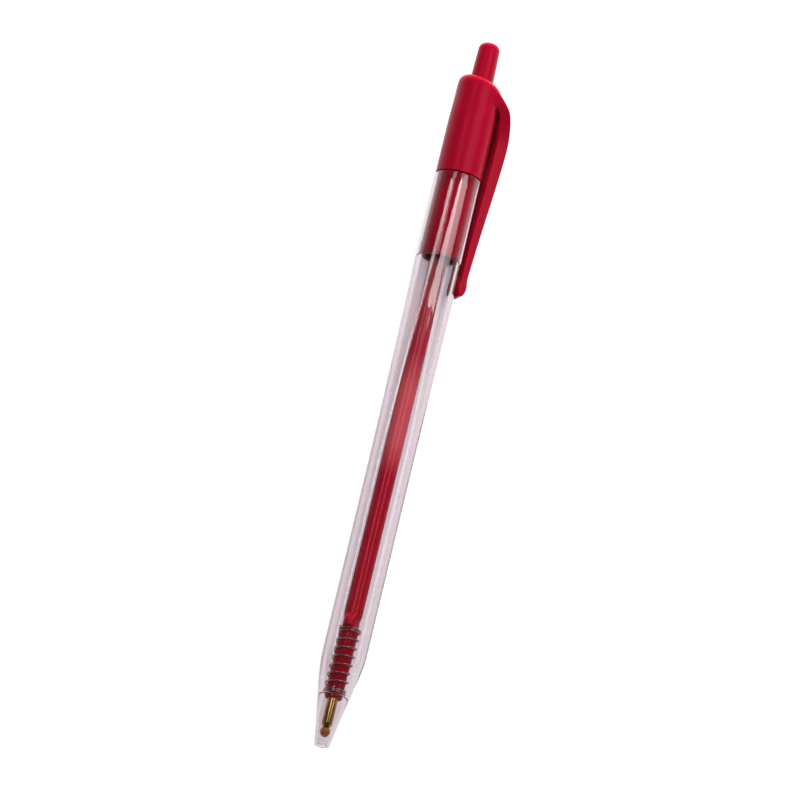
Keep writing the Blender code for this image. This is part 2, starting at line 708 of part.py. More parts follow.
def make_spring(pen):
    """The return spring: one wire, wound round the refill's front end."""
    points = spring_points()
    curve = bpy.data.curves.new("return_spring", "CURVE")
    curve.dimensions = "3D"
    curve.bevel_depth = WIRE_DIAMETER / 2.0
    curve.bevel_resolution = 1
    curve.use_fill_caps = True
    wire = curve.splines.new("POLY")
    wire.points.add(len(points) - 1)
    for spot, point in zip(wire.points, points):
        spot.co = (*point, 1.0)
    curve.materials.append(finish("spring_steel", STEEL, 0.3, metallic=1.0))
    spring = bpy.data.objects.new("return_spring", curve)
    bpy.context.scene.collection.objects.link(spring)
    spring.parent = pen
    print(f"return_spring: least gap to itself {least_gap(points) * 1000.0:.3f} mm")


def rest_roll():
    """How far the clip points below level when the barrel and the clip's lower edge both touch the table."""
    reach = clip_curve(1.0).x + CLIP_BOW_THICKNESS / 2.0
    half = CLIP_BOW_WIDTH / 2.0
    support = max(CAP_FOOT_RADIUS, BARREL_TOP_RADIUS)
    return math.asin(support / math.hypot(reach, half)) - math.atan2(half, reach)


def bounds():
    """The corners of the box round every piece that shows."""
    graph = bpy.context.evaluated_depsgraph_get()
    spots = []
    for obj in bpy.data.objects:
        if obj.hide_render or obj.type == "EMPTY":
            continue
        solid = obj.evaluated_get(graph)
        mesh = solid.to_mesh()
        spots += [solid.matrix_world @ vertex.co for vertex in mesh.vertices]
        solid.to_mesh_clear()
    low = Vector([min(spot[i] for spot in spots) for i in range(3)])
    high = Vector([max(spot[i] for spot in spots) for i in range(3)])
    return low, high


def lay_down(pen):
    """Turns the pen onto its side and puts the middle of its underside at the origin."""
    roll = rest_roll()
    clip_way = Vector((0.0, -math.cos(roll), -math.sin(roll)))
    axis = Vector((1.0, 0.0, 0.0))
    pen.matrix_world = Matrix((clip_way, axis.cross(clip_way), axis)).transposed().to_4x4()
    bpy.context.view_layer.update()
    low, high = bounds()
    pen.location = (-(low.x + high.x) / 2.0, -(low.y + high.y) / 2.0, -low.z)
    bpy.context.view_layer.update()


def main():
    """Builds the pen."""
    clear_scene()
    pen = empty("pen")
    red = finish("red_plastic", RED, 0.35)
    make_barrel(pen)
    make_cap(pen, red)
    hinge = make_clip(pen, red)
    make_button(pen, red)
    make_rotor(pen, red)
    roller = make_point(pen)
    make_refill(pen)
    make_spring(pen)
    lay_down(pen)
    for carrier in (pen, hinge, roller):
        spot = [round(value, 6) for value in carrier.matrix_world.translation]
        print(f"{carrier.name}: at {spot}, rolled {math.degrees(rest_roll()):.3f} degrees")


if __name__ == "__main__":
    main()
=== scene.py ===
"""Studio picture of a pushbutton ballpoint pen with a clear barrel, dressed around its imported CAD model.

Every mesh is modelled along the pen's own axis, as the CAD is: the nose end is at height 0, the button is at
the top and the clip is towards +X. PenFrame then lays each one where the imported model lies.
"""

import json
import logging
import math
from collections.abc import Sequence
from dataclasses import dataclass, field
from enum import Enum

import bmesh
import bpy
from bmesh.types import BMEdge, BMesh, BMFace, BMVert
from bpy.types import Camera, Light, Material, Mesh, Node, NodeSocket, Object, World
from mathutils import Matrix, Vector

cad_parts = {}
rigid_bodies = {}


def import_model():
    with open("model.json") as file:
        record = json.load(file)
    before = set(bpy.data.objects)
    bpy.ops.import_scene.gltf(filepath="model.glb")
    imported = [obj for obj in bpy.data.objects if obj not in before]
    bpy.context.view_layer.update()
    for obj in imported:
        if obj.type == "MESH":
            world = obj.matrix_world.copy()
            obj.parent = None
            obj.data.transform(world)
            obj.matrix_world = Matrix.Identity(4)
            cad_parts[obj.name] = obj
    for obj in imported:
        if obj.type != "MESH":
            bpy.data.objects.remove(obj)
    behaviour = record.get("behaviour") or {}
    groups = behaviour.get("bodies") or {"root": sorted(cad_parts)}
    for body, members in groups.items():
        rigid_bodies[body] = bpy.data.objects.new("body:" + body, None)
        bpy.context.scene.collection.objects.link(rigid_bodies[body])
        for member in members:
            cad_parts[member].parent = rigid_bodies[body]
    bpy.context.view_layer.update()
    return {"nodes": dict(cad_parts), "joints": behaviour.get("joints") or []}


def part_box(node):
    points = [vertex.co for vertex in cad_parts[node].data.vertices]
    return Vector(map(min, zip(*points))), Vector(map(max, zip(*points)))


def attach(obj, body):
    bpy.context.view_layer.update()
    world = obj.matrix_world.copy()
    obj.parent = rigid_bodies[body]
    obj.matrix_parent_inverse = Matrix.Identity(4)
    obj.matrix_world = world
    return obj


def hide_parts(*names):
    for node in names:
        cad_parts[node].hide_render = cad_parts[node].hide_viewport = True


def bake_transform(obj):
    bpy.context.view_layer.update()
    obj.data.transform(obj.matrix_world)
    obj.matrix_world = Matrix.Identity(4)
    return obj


for leftover in list(bpy.data.objects):
    bpy.data.objects.remove(leftover, do_unlink=True)
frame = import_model()

LOG = logging.getLogger("pen")
MERGE_DISTANCE = 1e-8
FLATNESS = 1e-6
PATCH_SLACK = 0.1
SPOT_DIGITS = 7
SHARP_ANGLE = math.radians(40.0)
NOISE_RANGE = (0.3, 0.7)

Colour = tuple[float, float, float]
Profile = list[tuple[float, float]]


def grey(share: float) -> Colour:
    """A colour that holds one value."""
    return (share, share, share)


class Body(Enum):
    """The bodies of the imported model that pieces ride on."""

    HOUSING = "housing"
    CLIP = "clip"
    BUTTON = "button"
    REFILL = "refill"
    BALL = "ball"


class Slot(Enum):
    """The record's material slots."""

    CLEAR = "clear_plastic"
    RED = "red_plastic"
    TUBE = "tinted_tube"
    INK = "red_ink"
    BRASS = "brass"
    WAX = "amber_wax"
    CARBIDE = "carbide"
    STEEL = "spring_steel"


class Ray(Enum):
    """Kinds of ray that a material may answer differently."""

    CAMERA = "Is Camera Ray"
    GLOSSY = "Is Glossy Ray"
    REFLECTION = "Is Reflection Ray"
    SHADOW = "Is Shadow Ray"


@dataclass(frozen=True)
class PenFrame:
    """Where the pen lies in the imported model.

    Attributes:
        nose: The middle of the nose end.
        clip_way: The way from the axis to the clip.
    """

    nose: Vector
    clip_way: Vector

    @classmethod
    def read(cls) -> "PenFrame":
        """Reads the pen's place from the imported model's joints and barrel.

        Returns:
            The pen's place.
        """
        joints = {joint["name"]: joint for joint in frame["joints"]}
        centre = joints["cam_turn"]["pos_m"]
        nose = Vector((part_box("barrel")[0].x, centre[1], centre[2]))
        return cls(nose, Vector((1.0, 0.0, 0.0)).cross(Vector(joints["clip_flex"]["axis"])))

    @property
    def matrix(self) -> Matrix:
        """The turn and shift from the pen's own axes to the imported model's.

        Returns:
            The matrix.
        """
        along = Vector((1.0, 0.0, 0.0))
        turn = Matrix((self.clip_way, along.cross(self.clip_way), along)).transposed()
        return Matrix.Translation(self.nose) @ turn.to_4x4()

    def point(self, reach: float, height: float, side: float = 0.0) -> Vector:
        """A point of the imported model, from its reach towards the clip, height and side in the pen."""
        return self.matrix @ Vector((reach, side, height))


PEN = PenFrame.read()


class Graph:
    """The nodes of a material or the world, with short ways to add and join them."""

    def __init__(self, owner: Material | World) -> None:
        """Turns on the nodes of a material or a world.

        Args:
            owner: The material or world.
        """
        owner.use_nodes = True
        self.owner = owner
        self.nodes = owner.node_tree.nodes
        self.links = owner.node_tree.links

    @classmethod
    def plain(cls, name: str) -> "Graph":
        """The nodes of a new material with one shader."""
        return cls(bpy.data.materials.new(name))

    @property
    def shader(self) -> Node:
        """A material's shader."""
        return self.nodes["Principled BSDF"]

    def node(self, kind: str, **inputs: float | Sequence[float]) -> Node:
        """Adds a node.

        Args:
            kind: The node's type name.
            **inputs: Values for its sockets, with spaces in their names written as underscores.

        Returns:
            The node.
        """
        made = self.nodes.new(kind)
        for name, value in inputs.items():
            made.inputs[name.replace("_", " ")].default_value = value
        return made

    def join(self, source: NodeSocket, target: NodeSocket) -> None:
        """Links an output to an input."""
        self.links.new(source, target)

    def surface(self, **inputs: float | Sequence[float]) -> None:
        """Sets plain values on the shader's own sockets."""
        for name, value in inputs.items():
            self.shader.inputs[name.replace("_", " ")].default_value = value

    def place(self, scale: Sequence[float], shift: Sequence[float] = (0.0, 0.0, 0.0)) -> NodeSocket:
        """Object coordinates, scaled and then shifted.

        Args:
            scale: How many units of pattern there are to a metre, along each axis.
            shift: What is added after that.

        Returns:
            The coordinates' socket.
        """
        coordinates = self.node("ShaderNodeTexCoord")
        mapping = self.node("ShaderNodeMapping", Scale=scale, Location=shift)
        self.join(coordinates.outputs["Object"], mapping.inputs["Vector"])
        return mapping.outputs["Vector"]

    def noise(self, scale: Sequence[float], detail: float = 2.0) -> NodeSocket:
        """Soft noise from 0 to 1 on Object coordinates.

        Args:
            scale: How many units of noise there are to a metre, along each axis.
            detail: How many finer layers it has.

        Returns:
            The noise's socket.
        """
        texture = self.node("ShaderNodeTexNoise", Scale=1.0, Detail=detail)
        self.join(self.place(scale), texture.inputs["Vector"])
        return texture.outputs["Fac"]

    def along(self, start: float, end: float) -> NodeSocket:
        """How far along the pen a point is.

        Args:
            start: The height above the nose end at which the result is 0.
            end: The height at which it is 1.

        Returns:
            The socket of a value that isn't limited to that range.
        """
        span = end - start
        shift = -(PEN.nose.x + start) / span
        parts = self.node("ShaderNodeSeparateXYZ")
        self.join(self.place((1.0 / span, 1.0, 1.0), (shift, 0.0, 0.0)), parts.inputs["Vector"])
        return parts.outputs["X"]

    def spread(self, value: NodeSocket, low: float, high: float) -> NodeSocket:
        """Maps the middle range of a noise to a range of values.

        Args:
            value: The noise's socket.
            low: The result where the noise is low.
            high: The result where it is high.

        Returns:
            The result's socket.
        """
        start, end = NOISE_RANGE
        ranged = self.node("ShaderNodeMapRange", From_Min=start, From_Max=end, To_Min=low, To_Max=high)
        self.join(value, ranged.inputs["Value"])
        return ranged.outputs["Result"]

    def ramp(self, value: NodeSocket, spots: Sequence[float], colours: Sequence[Colour]) -> NodeSocket:
        """Maps a value to colours.

        Args:
            value: The value's socket.
            spots: The values, from 0 to 1, that have a colour of their own.
            colours: Their colours.

        Returns:
            The colour's socket.
        """
        made = self.node("ShaderNodeValToRGB")
        elements = made.color_ramp.elements
        while len(elements) < len(spots):
            elements.new(1.0)
        for element, spot, colour in zip(elements, spots, colours):
            element.position = spot
            element.color = (*colour, 1.0)
        self.join(value, made.inputs["Fac"])
        return made.outputs["Color"]

    def mixed(self, share: NodeSocket, first: NodeSocket, second: NodeSocket) -> NodeSocket:
        """Mixes two colours.

        Args:
            share: The socket of the second colour's share.
            first: The first colour's socket.
            second: The second colour's socket.

        Returns:
            The mixed colour's socket.
        """
        made = self.node("ShaderNodeMix")
        made.data_type = "RGBA"
        sockets = {socket.identifier: socket for socket in made.inputs}
        for source, name in ((share, "Factor_Float"), (first, "A_Color"), (second, "B_Color")):
            self.join(source, sockets[name])
        return next(socket for socket in made.outputs if socket.identifier == "Result_Color")

    def bump(self, height: NodeSocket, strength: float, distance: float) -> None:
        """Roughens the shader's normal.

        Args:
            height: The socket of the relief, from 0 to 1.
            strength: How much of the relief is used.
            distance: The relief's depth in metres.
        """
        made = self.node("ShaderNodeBump", Strength=strength, Distance=distance)
        self.join(height, made.inputs["Height"])
        self.join(made.outputs["Normal"], self.shader.inputs["Normal"])

    def feed(self, **sockets: NodeSocket) -> None:
        """Drives the shader's own sockets from nodes."""
        for name, socket in sockets.items():
            self.join(socket, self.shader.inputs[name.replace("_", " ")])

    def by_ray(self, strengths: dict[Ray, float], rest: float = 0.0) -> NodeSocket:
        """A strength that differs from ray to ray.

        Args:
            strengths: What is added for some kinds of ray.
            rest: The strength for all other rays.

        Returns:
            The strength's socket.
        """
        rays = self.node("ShaderNodeLightPath")
        total = None
        for kind, strength in strengths.items():
            step = self.node("ShaderNodeMath")
            step.operation = "MULTIPLY_ADD"
            step.inputs[1].default_value = strength
            step.inputs[2].default_value = rest
            self.join(rays.outputs[kind.value], step.inputs[0])
            if total:
                self.join(total, step.inputs[2])
            total = step.outputs["Value"]
        return total

    def let_through(self, tints: dict[Ray, Colour]) -> None:
        """Lets some kinds of ray straight through, tinted at each face.

        Args:
            tints: The share of light that a face lets through, for each kind of ray.
        """
        rays = self.node("ShaderNodeLightPath")
        result = self.shader.outputs["BSDF"]
        for kind, tint in tints.items():
            film = self.node("ShaderNodeBsdfTransparent", Color=(*tint, 1.0))
            mixed = self.node("ShaderNodeMixShader")
            self.join(rays.outputs[kind.value], mixed.inputs["Fac"])
            self.join(result, mixed.inputs[1])
            self.join(film.outputs["BSDF"], mixed.inputs[2])
            result = mixed.outputs["Shader"]
        self.join(result, self.nodes["Material Output"].inputs["Surface"])


@dataclass(frozen=True)
class MouldedPlastic:
    """Opaque satin plastic with faint flow marks and a fine moulded grain.

    Attributes:
        name: The material's name.
        colour: The plastic's main colour.
        shade: Its darker colour in the flow marks.
        gleam: The tint of its highlights.
        gloss: How much it mirrors, where 0.5 is common for plastic.
        smooth: Its least roughness.
        rough: Its greatest roughness.
    """

    name: str
    colour: Colour
    shade: Colour
    gleam: Colour
    gloss: float = 0.15
    smooth: float = 0.27
    rough: float = 0.36

    def material(self) -> Material:
        """Builds the finish.

        Returns:
            The material.
        """
        graph = Graph.plain(self.name)
        marks = graph.noise((90.0, 420.0, 420.0), detail=3.0)
        graph.feed(Base_Color=graph.ramp(marks, NOISE_RANGE, (self.shade, self.colour)))
        graph.feed(Roughness=graph.spread(graph.noise((900.0, 1600.0, 1600.0)), self.smooth, self.rough))
        graph.bump(graph.noise((3500.0, 3500.0, 3500.0)), strength=0.1, distance=0.00001)
        graph.surface(IOR=1.5, Specular_IOR_Level=self.gloss, Specular_Tint=(*self.gleam, 1.0))
        return graph.owner


@dataclass(frozen=True)
class ClearPlastic:
    """Clear moulded plastic, a little tinted, with faint draw lines along the pen.

    Attributes:
        name: The material's name.
        tint: The colour that light takes on in a wall.
        edge_tint: The same for light that a wall has thrown back, which leaves it at the next face.
        lamp_tint: The share of lamplight that each face lets through.
        clearing: How much less tinted the clearest places are.
    """

    name: str
    tint: Colour
    edge_tint: Colour
    lamp_tint: Colour
    clearing: float = 1.04

    def material(self) -> Material:
        """Builds the finish.

        Returns:
            The material.
        """
        graph = Graph.plain(self.name)
        clouds = graph.noise((60.0, 260.0, 260.0))
        pale = tuple(min(1.0, share * self.clearing) for share in self.tint)
        graph.feed(Base_Color=graph.ramp(clouds, NOISE_RANGE, (self.tint, pale)))
        graph.feed(Roughness=graph.spread(graph.noise((40.0, 1200.0, 1200.0)), low=0.008, high=0.025))
        graph.bump(graph.noise((12.0, 1500.0, 1500.0)), strength=0.06, distance=0.00002)
        graph.surface(IOR=1.49, Transmission_Weight=1.0)
        graph.let_through({Ray.REFLECTION: self.edge_tint, Ray.SHADOW: self.lamp_tint})
        return graph.owner


@dataclass(frozen=True)
class TubePlastic:
    """The refill's thin tube: stained deep red by the ink, with a paler band of painted reflection haze along
    its upper ink, and paler again above the ink.

    Attributes:
        name: The material's name.
        deep: Its colour low down, where it is full.
        pale: Its colour in the band of painted reflection haze along the upper ink.
        crown: Its colour at the top of the ink, where the painted haze ends.
        empty: Its colour above the ink.
        bare_and_painted_highlight: Its near-white colour above the ink where no ink clings to it, which also
            paints highlight streaks there.
        lamp_tint: The share of lamplight that each face lets through.
        painted_haze_start: The height above the nose end at which the painted reflection haze starts.
        ink_top: The height at which the ink ends.
        top_stop: Where the ink's top lies on the ramps along the tube, from 0 to 1.
        haze_fade_in: How far along the ramps the painted haze takes to fade in.
        haze_fade_out: Where on the ramps the painted haze fades to the colour at the ink's top.
        brim: Where on the ramps the full tube turns to the empty one.
        clearness: How clear the tube is below and above the brim.
        clinging: The noise below which ink clings, and above which it doesn't.
        gleam: The tint of its highlights.
    """

    name: str
    deep: Colour
    pale: Colour
    crown: Colour
    empty: Colour
    bare_and_painted_highlight: Colour
    lamp_tint: Colour
    painted_haze_start: float
    ink_top: float
    top_stop: float = 0.9
    haze_fade_in: float = 0.07
    haze_fade_out: tuple[float, float] = (0.78, 0.86)
    brim: tuple[float, float] = (0.88, 0.92)
    clearness: tuple[float, float] = (0.15, 0.50)
    clinging: tuple[float, float] = (0.58, 0.66)
    gleam: Colour = (1.0, 0.6, 0.62)

    def material(self) -> Material:
        """Builds the finish.

        Returns:
            The material.
        """
        graph = Graph.plain(self.name)
        height = graph.along(0.0, self.ink_top / self.top_stop)
        low = self.top_stop * self.painted_haze_start / self.ink_top
        # Deep red low down, then the paler painted reflection haze, then the crown colour at the ink's top.
        spots = (low, low + self.haze_fade_in, *self.haze_fade_out)
        below = graph.ramp(height, spots, (self.deep, self.pale, self.pale, self.crown))
        # Pale streaks above the ink: bare tube where no ink clings, painted near white as a highlight.
        streaks = graph.noise((60.0, 800.0, 800.0))
        above = graph.ramp(streaks, self.clinging, (self.empty, self.bare_and_painted_highlight))
        emptied = graph.ramp(height, self.brim, (grey(0.0), grey(1.0)))
        graph.feed(Base_Color=graph.mixed(emptied, below, above))
        clearness = [grey(share) for share in self.clearness]
        graph.feed(Transmission_Weight=graph.ramp(height, self.brim, clearness))
        graph.feed(Roughness=graph.spread(graph.noise((60.0, 1400.0, 1400.0)), low=0.05, high=0.12))
        graph.bump(graph.noise((200.0, 2600.0, 2600.0), detail=3.0), strength=0.10, distance=0.00002)
        graph.surface(IOR=1.5, Specular_Tint=(*self.gleam, 1.0))
        graph.let_through({Ray.SHADOW: self.lamp_tint})
        return graph.owner


@dataclass(frozen=True)
class Ink:
    """Thick writing ink.

    Attributes:
        name: The material's name.
        colour: The ink's colour.
        streak: The colour of its streaks.
        lamp_tint: The share of lamplight that each face lets through.
    """

    name: str
    colour: Colour
    streak: Colour
    lamp_tint: Colour

    def material(self) -> Material:
        """Builds the finish.

        Returns:
            The material.
        """
        graph = Graph.plain(self.name)
        streaks = graph.noise((150.0, 900.0, 900.0), detail=4.0)
        graph.feed(Base_Color=graph.ramp(streaks, (0.35, 0.7), (self.colour, self.streak)))
        graph.feed(Roughness=graph.spread(graph.noise((400.0, 400.0, 400.0)), low=0.05, high=0.2))
        graph.surface(IOR=1.4)
        graph.let_through({Ray.SHADOW: self.lamp_tint})
        return graph.owner


@dataclass(frozen=True)
class Metal:
    """Turned, drawn or ground metal, with fine tool marks.

    Attributes:
        name: The material's name.
        colour: The metal's colour.
        tarnish: Its darker colour in patches.
        marks: How many tool marks there are to a metre, along each axis.
        smooth: Its least roughness.
        rough: Its greatest roughness.
        relief: The depth of the marks in metres.
    """

    name: str
    colour: Colour
    tarnish: Colour
    marks: tuple[float, float, float]
    smooth: float
    rough: float
    relief: float

    def material(self) -> Material:
        """Builds the finish.

        Returns:
            The material.
        """
        graph = Graph.plain(self.name)
        patches = graph.noise((900.0, 900.0, 900.0), detail=4.0)
        graph.feed(Base_Color=graph.ramp(patches, (0.3, 0.65), (self.tarnish, self.colour)))
        tool_marks = graph.noise(self.marks, detail=3.0)
        graph.feed(Roughness=graph.spread(tool_marks, self.smooth, self.rough))
        graph.bump(tool_marks, strength=0.3, distance=self.relief)
        graph.surface(Metallic=1.0)
        return graph.owner


@dataclass(frozen=True)
class Wax:
    """Amber wax, a little cloudy.

    Attributes:
        name: The material's name.
        colour: The wax's colour.
        cloud: Its paler colour in clouds.
    """

    name: str
    colour: Colour
    cloud: Colour

    def material(self) -> Material:
        """Builds the finish.

        Returns:
            The material.
        """
        graph = Graph.plain(self.name)
        clouds = graph.noise((1500.0, 1500.0, 1500.0), detail=3.0)
        graph.feed(Base_Color=graph.ramp(clouds, (0.3, 0.75), (self.colour, self.cloud)))
        graph.feed(Roughness=graph.spread(clouds, low=0.03, high=0.08))
        graph.bump(graph.noise((3000.0, 3000.0, 3000.0)), strength=0.2, distance=0.00003)
        graph.surface(IOR=1.44, Transmission_Weight=0.6)
        return graph.owner


RED = MouldedPlastic("red_plastic", (0.325, 0.001, 0.018), (0.295, 0.001, 0.015), (1.0, 0.32, 0.34))
# Glossier red for the sleeve; its red is lighter than RED as painted light, for the light that the tinted
# clear walls round it take away.
RED_POLISHED_PAINTED_LIGHT = MouldedPlastic(
    "red_plastic_polished_painted_light", (0.460, 0.001, 0.024), (0.420, 0.001, 0.020), (1.0, 0.70, 0.72), 0.4, 0.12, 0.20
)
# Matt red for the clip's face towards the barrel, much lighter than RED: painted light that lifts that face
# out of its shade.
RED_MATT_PAINTED_LIGHT = MouldedPlastic(
    "red_plastic_matt_painted_light", (0.760, 0.001, 0.030), (0.700, 0.001, 0.026), (1.0, 0.10, 0.12), 0.04, 0.55, 0.65
)
CLEAR = ClearPlastic("clear_plastic", (0.860, 0.808, 0.845), (0.620, 0.540, 0.570), (0.95, 0.92, 0.93))
INK = Ink("red_ink", (0.250, 0.002, 0.012), (0.330, 0.006, 0.020), (0.85, 0.30, 0.35))
# Brass lighter and yellower than its own colour: painted light for the light that the tinted nose takes away.
BRASS = Metal("brass", (0.86, 0.64, 0.21), (0.70, 0.49, 0.15), (250.0, 2500.0, 2500.0), 0.16, 0.22, 0.000001)
# Steel lighter and pinker than bare steel: painted light, and a painted reflection of the red refill, behind
# the clear walls.
STEEL = Metal(
    "spring_steel", (0.80, 0.57, 0.54), (0.57, 0.40, 0.38), (1500.0, 3000.0, 3000.0), 0.17, 0.26, 0.000002
)
CARBIDE = Metal(
    "carbide", (0.32, 0.32, 0.33), (0.22, 0.22, 0.23), (4000.0, 4000.0, 4000.0), 0.06, 0.14, 0.000001
)
# Amber wax lighter than its own colour: painted light for the light that the tinted nose takes away.
WAX = Wax("amber_wax", (0.64, 0.27, 0.05), (0.76, 0.40, 0.11))


def evenly(start: float, end: float, steps: int) -> list[float]:
    """Values at even steps from a start to an end, both included."""
    return [start + (end - start) * i / steps for i in range(steps + 1)]


def polar(vertex: BMVert) -> tuple[float, float]:
    """A vertex's distance from the pen's axis and its angle from the clip."""
    return math.hypot(vertex.co.x, vertex.co.y), math.atan2(vertex.co.y, vertex.co.x)


def spot_key(vertex: BMVert) -> tuple[float, ...]:
    """A vertex's place, rounded so that a copy of the vertex has the same one."""
    return tuple(round(value, SPOT_DIGITS) for value in vertex.co)


def arc(centre: tuple[float, float], radius: float, start: float, end: float, steps: int) -> Profile:
    """Points along an arc of a profile, its ends included.

    Args:
        centre: The arc's centre, as radius and height.
        radius: The arc's own radius.
        start: The angle at which it starts, in degrees.
        end: The angle at which it ends.
        steps: How many chords it has.

    Returns:
        The points.
    """
    angles = [math.radians(angle) for angle in evenly(start, end, steps)]
    return [(centre[0] + radius * math.cos(a), centre[1] + radius * math.sin(a)) for a in angles]


def ease(share: float) -> float:
    """Eases from 0 to 1 with no slope at either end."""
    share = min(max(share, 0.0), 1.0)
    return share * share * (3.0 - 2.0 * share)


def soft_least(first: float, second: float, blend: float) -> float:
    """The lesser of two lengths, with the corner where they cross rounded off.

    Args:
        first: A length.
        second: Another.
        blend: About how far from the crossing the rounding reaches.

    Returns:
        The rounded least length.
    """
    return min(first, second) - blend * math.log1p(math.exp(-abs(first - second) / blend))


def turned(profile: Profile, steps: int, ring: bool = False) -> BMesh:
    """Spins a profile round the pen's axis.

    Args:
        profile: Points as radius and height.
        steps: How many faces there are round the axis.
        ring: True if the profile is a closed outline.

    Returns:
        The closed shape.
    """
    shape = bmesh.new()
    points = [shape.verts.new((radius, 0.0, height)) for radius, height in profile]
    edges = [shape.edges.new(pair) for pair in zip(points, points[1:])]
    if ring:
        edges.append(shape.edges.new((points[-1], points[0])))
    bmesh.ops.spin(
        shape, geom=points + edges, cent=(0.0, 0.0, 0.0), axis=(0.0, 0.0, 1.0), angle=math.tau, steps=steps,
        use_merge=True,
    )
    bmesh.ops.remove_doubles(shape, verts=shape.verts, dist=MERGE_DISTANCE)
    bmesh.ops.recalc_face_normals(shape, faces=shape.faces)
    return shape


def placed(name: str, data: Mesh | Light | Camera) -> Object:
    """Adds an object to the scene.

    Args:
        name: Its name.
        data: Its mesh, lamp or camera.

    Returns:
        The object, at the origin.
    """
    made = bpy.data.objects.new(name, data)
    bpy.context.scene.collection.objects.link(made)
    return made


def meshed(name: str, shape: BMesh) -> Object:
    """Makes a shape an object of the scene.

    Args:
        name: The object's name.
        shape: The shape, which is used up.

    Returns:
        The object, at the origin.
    """
    mesh = bpy.data.meshes.new(name)
    shape.to_mesh(mesh)
    shape.free()
    return placed(name, mesh)


def publish(name: str, shape: BMesh, material: Material, smooth_levels: int = 0) -> Object:
    """Lays a shape where the pen lies and makes it a piece.

    Args:
        name: The piece's name.
        shape: The shape along the pen's own axis, which is used up.
        material: Its finish.
        smooth_levels: How often its faces are divided and smoothed.

    Returns:
        The object, at the origin, with its place in its mesh.
    """
    bmesh.ops.transform(shape, matrix=PEN.matrix, verts=shape.verts)
    made = meshed(name, shape)
    if smooth_levels:
        rough = made.data
        step = made.modifiers.new("smooth", "SUBSURF")
        step.levels = smooth_levels
        step.render_levels = smooth_levels
        graph = bpy.context.evaluated_depsgraph_get()
        made.data = bpy.data.meshes.new_from_object(made.evaluated_get(graph))
        made.modifiers.clear()
        bpy.data.meshes.remove(rough)
        made.data.name = name
    made.data.materials.clear()
    made.data.materials.append(material)
    made.data.shade_smooth()
    made.data.set_sharp_from_angle(angle=SHARP_ANGLE)
    LOG.info("%s: %d faces", name, len(made.data.polygons))
    return made


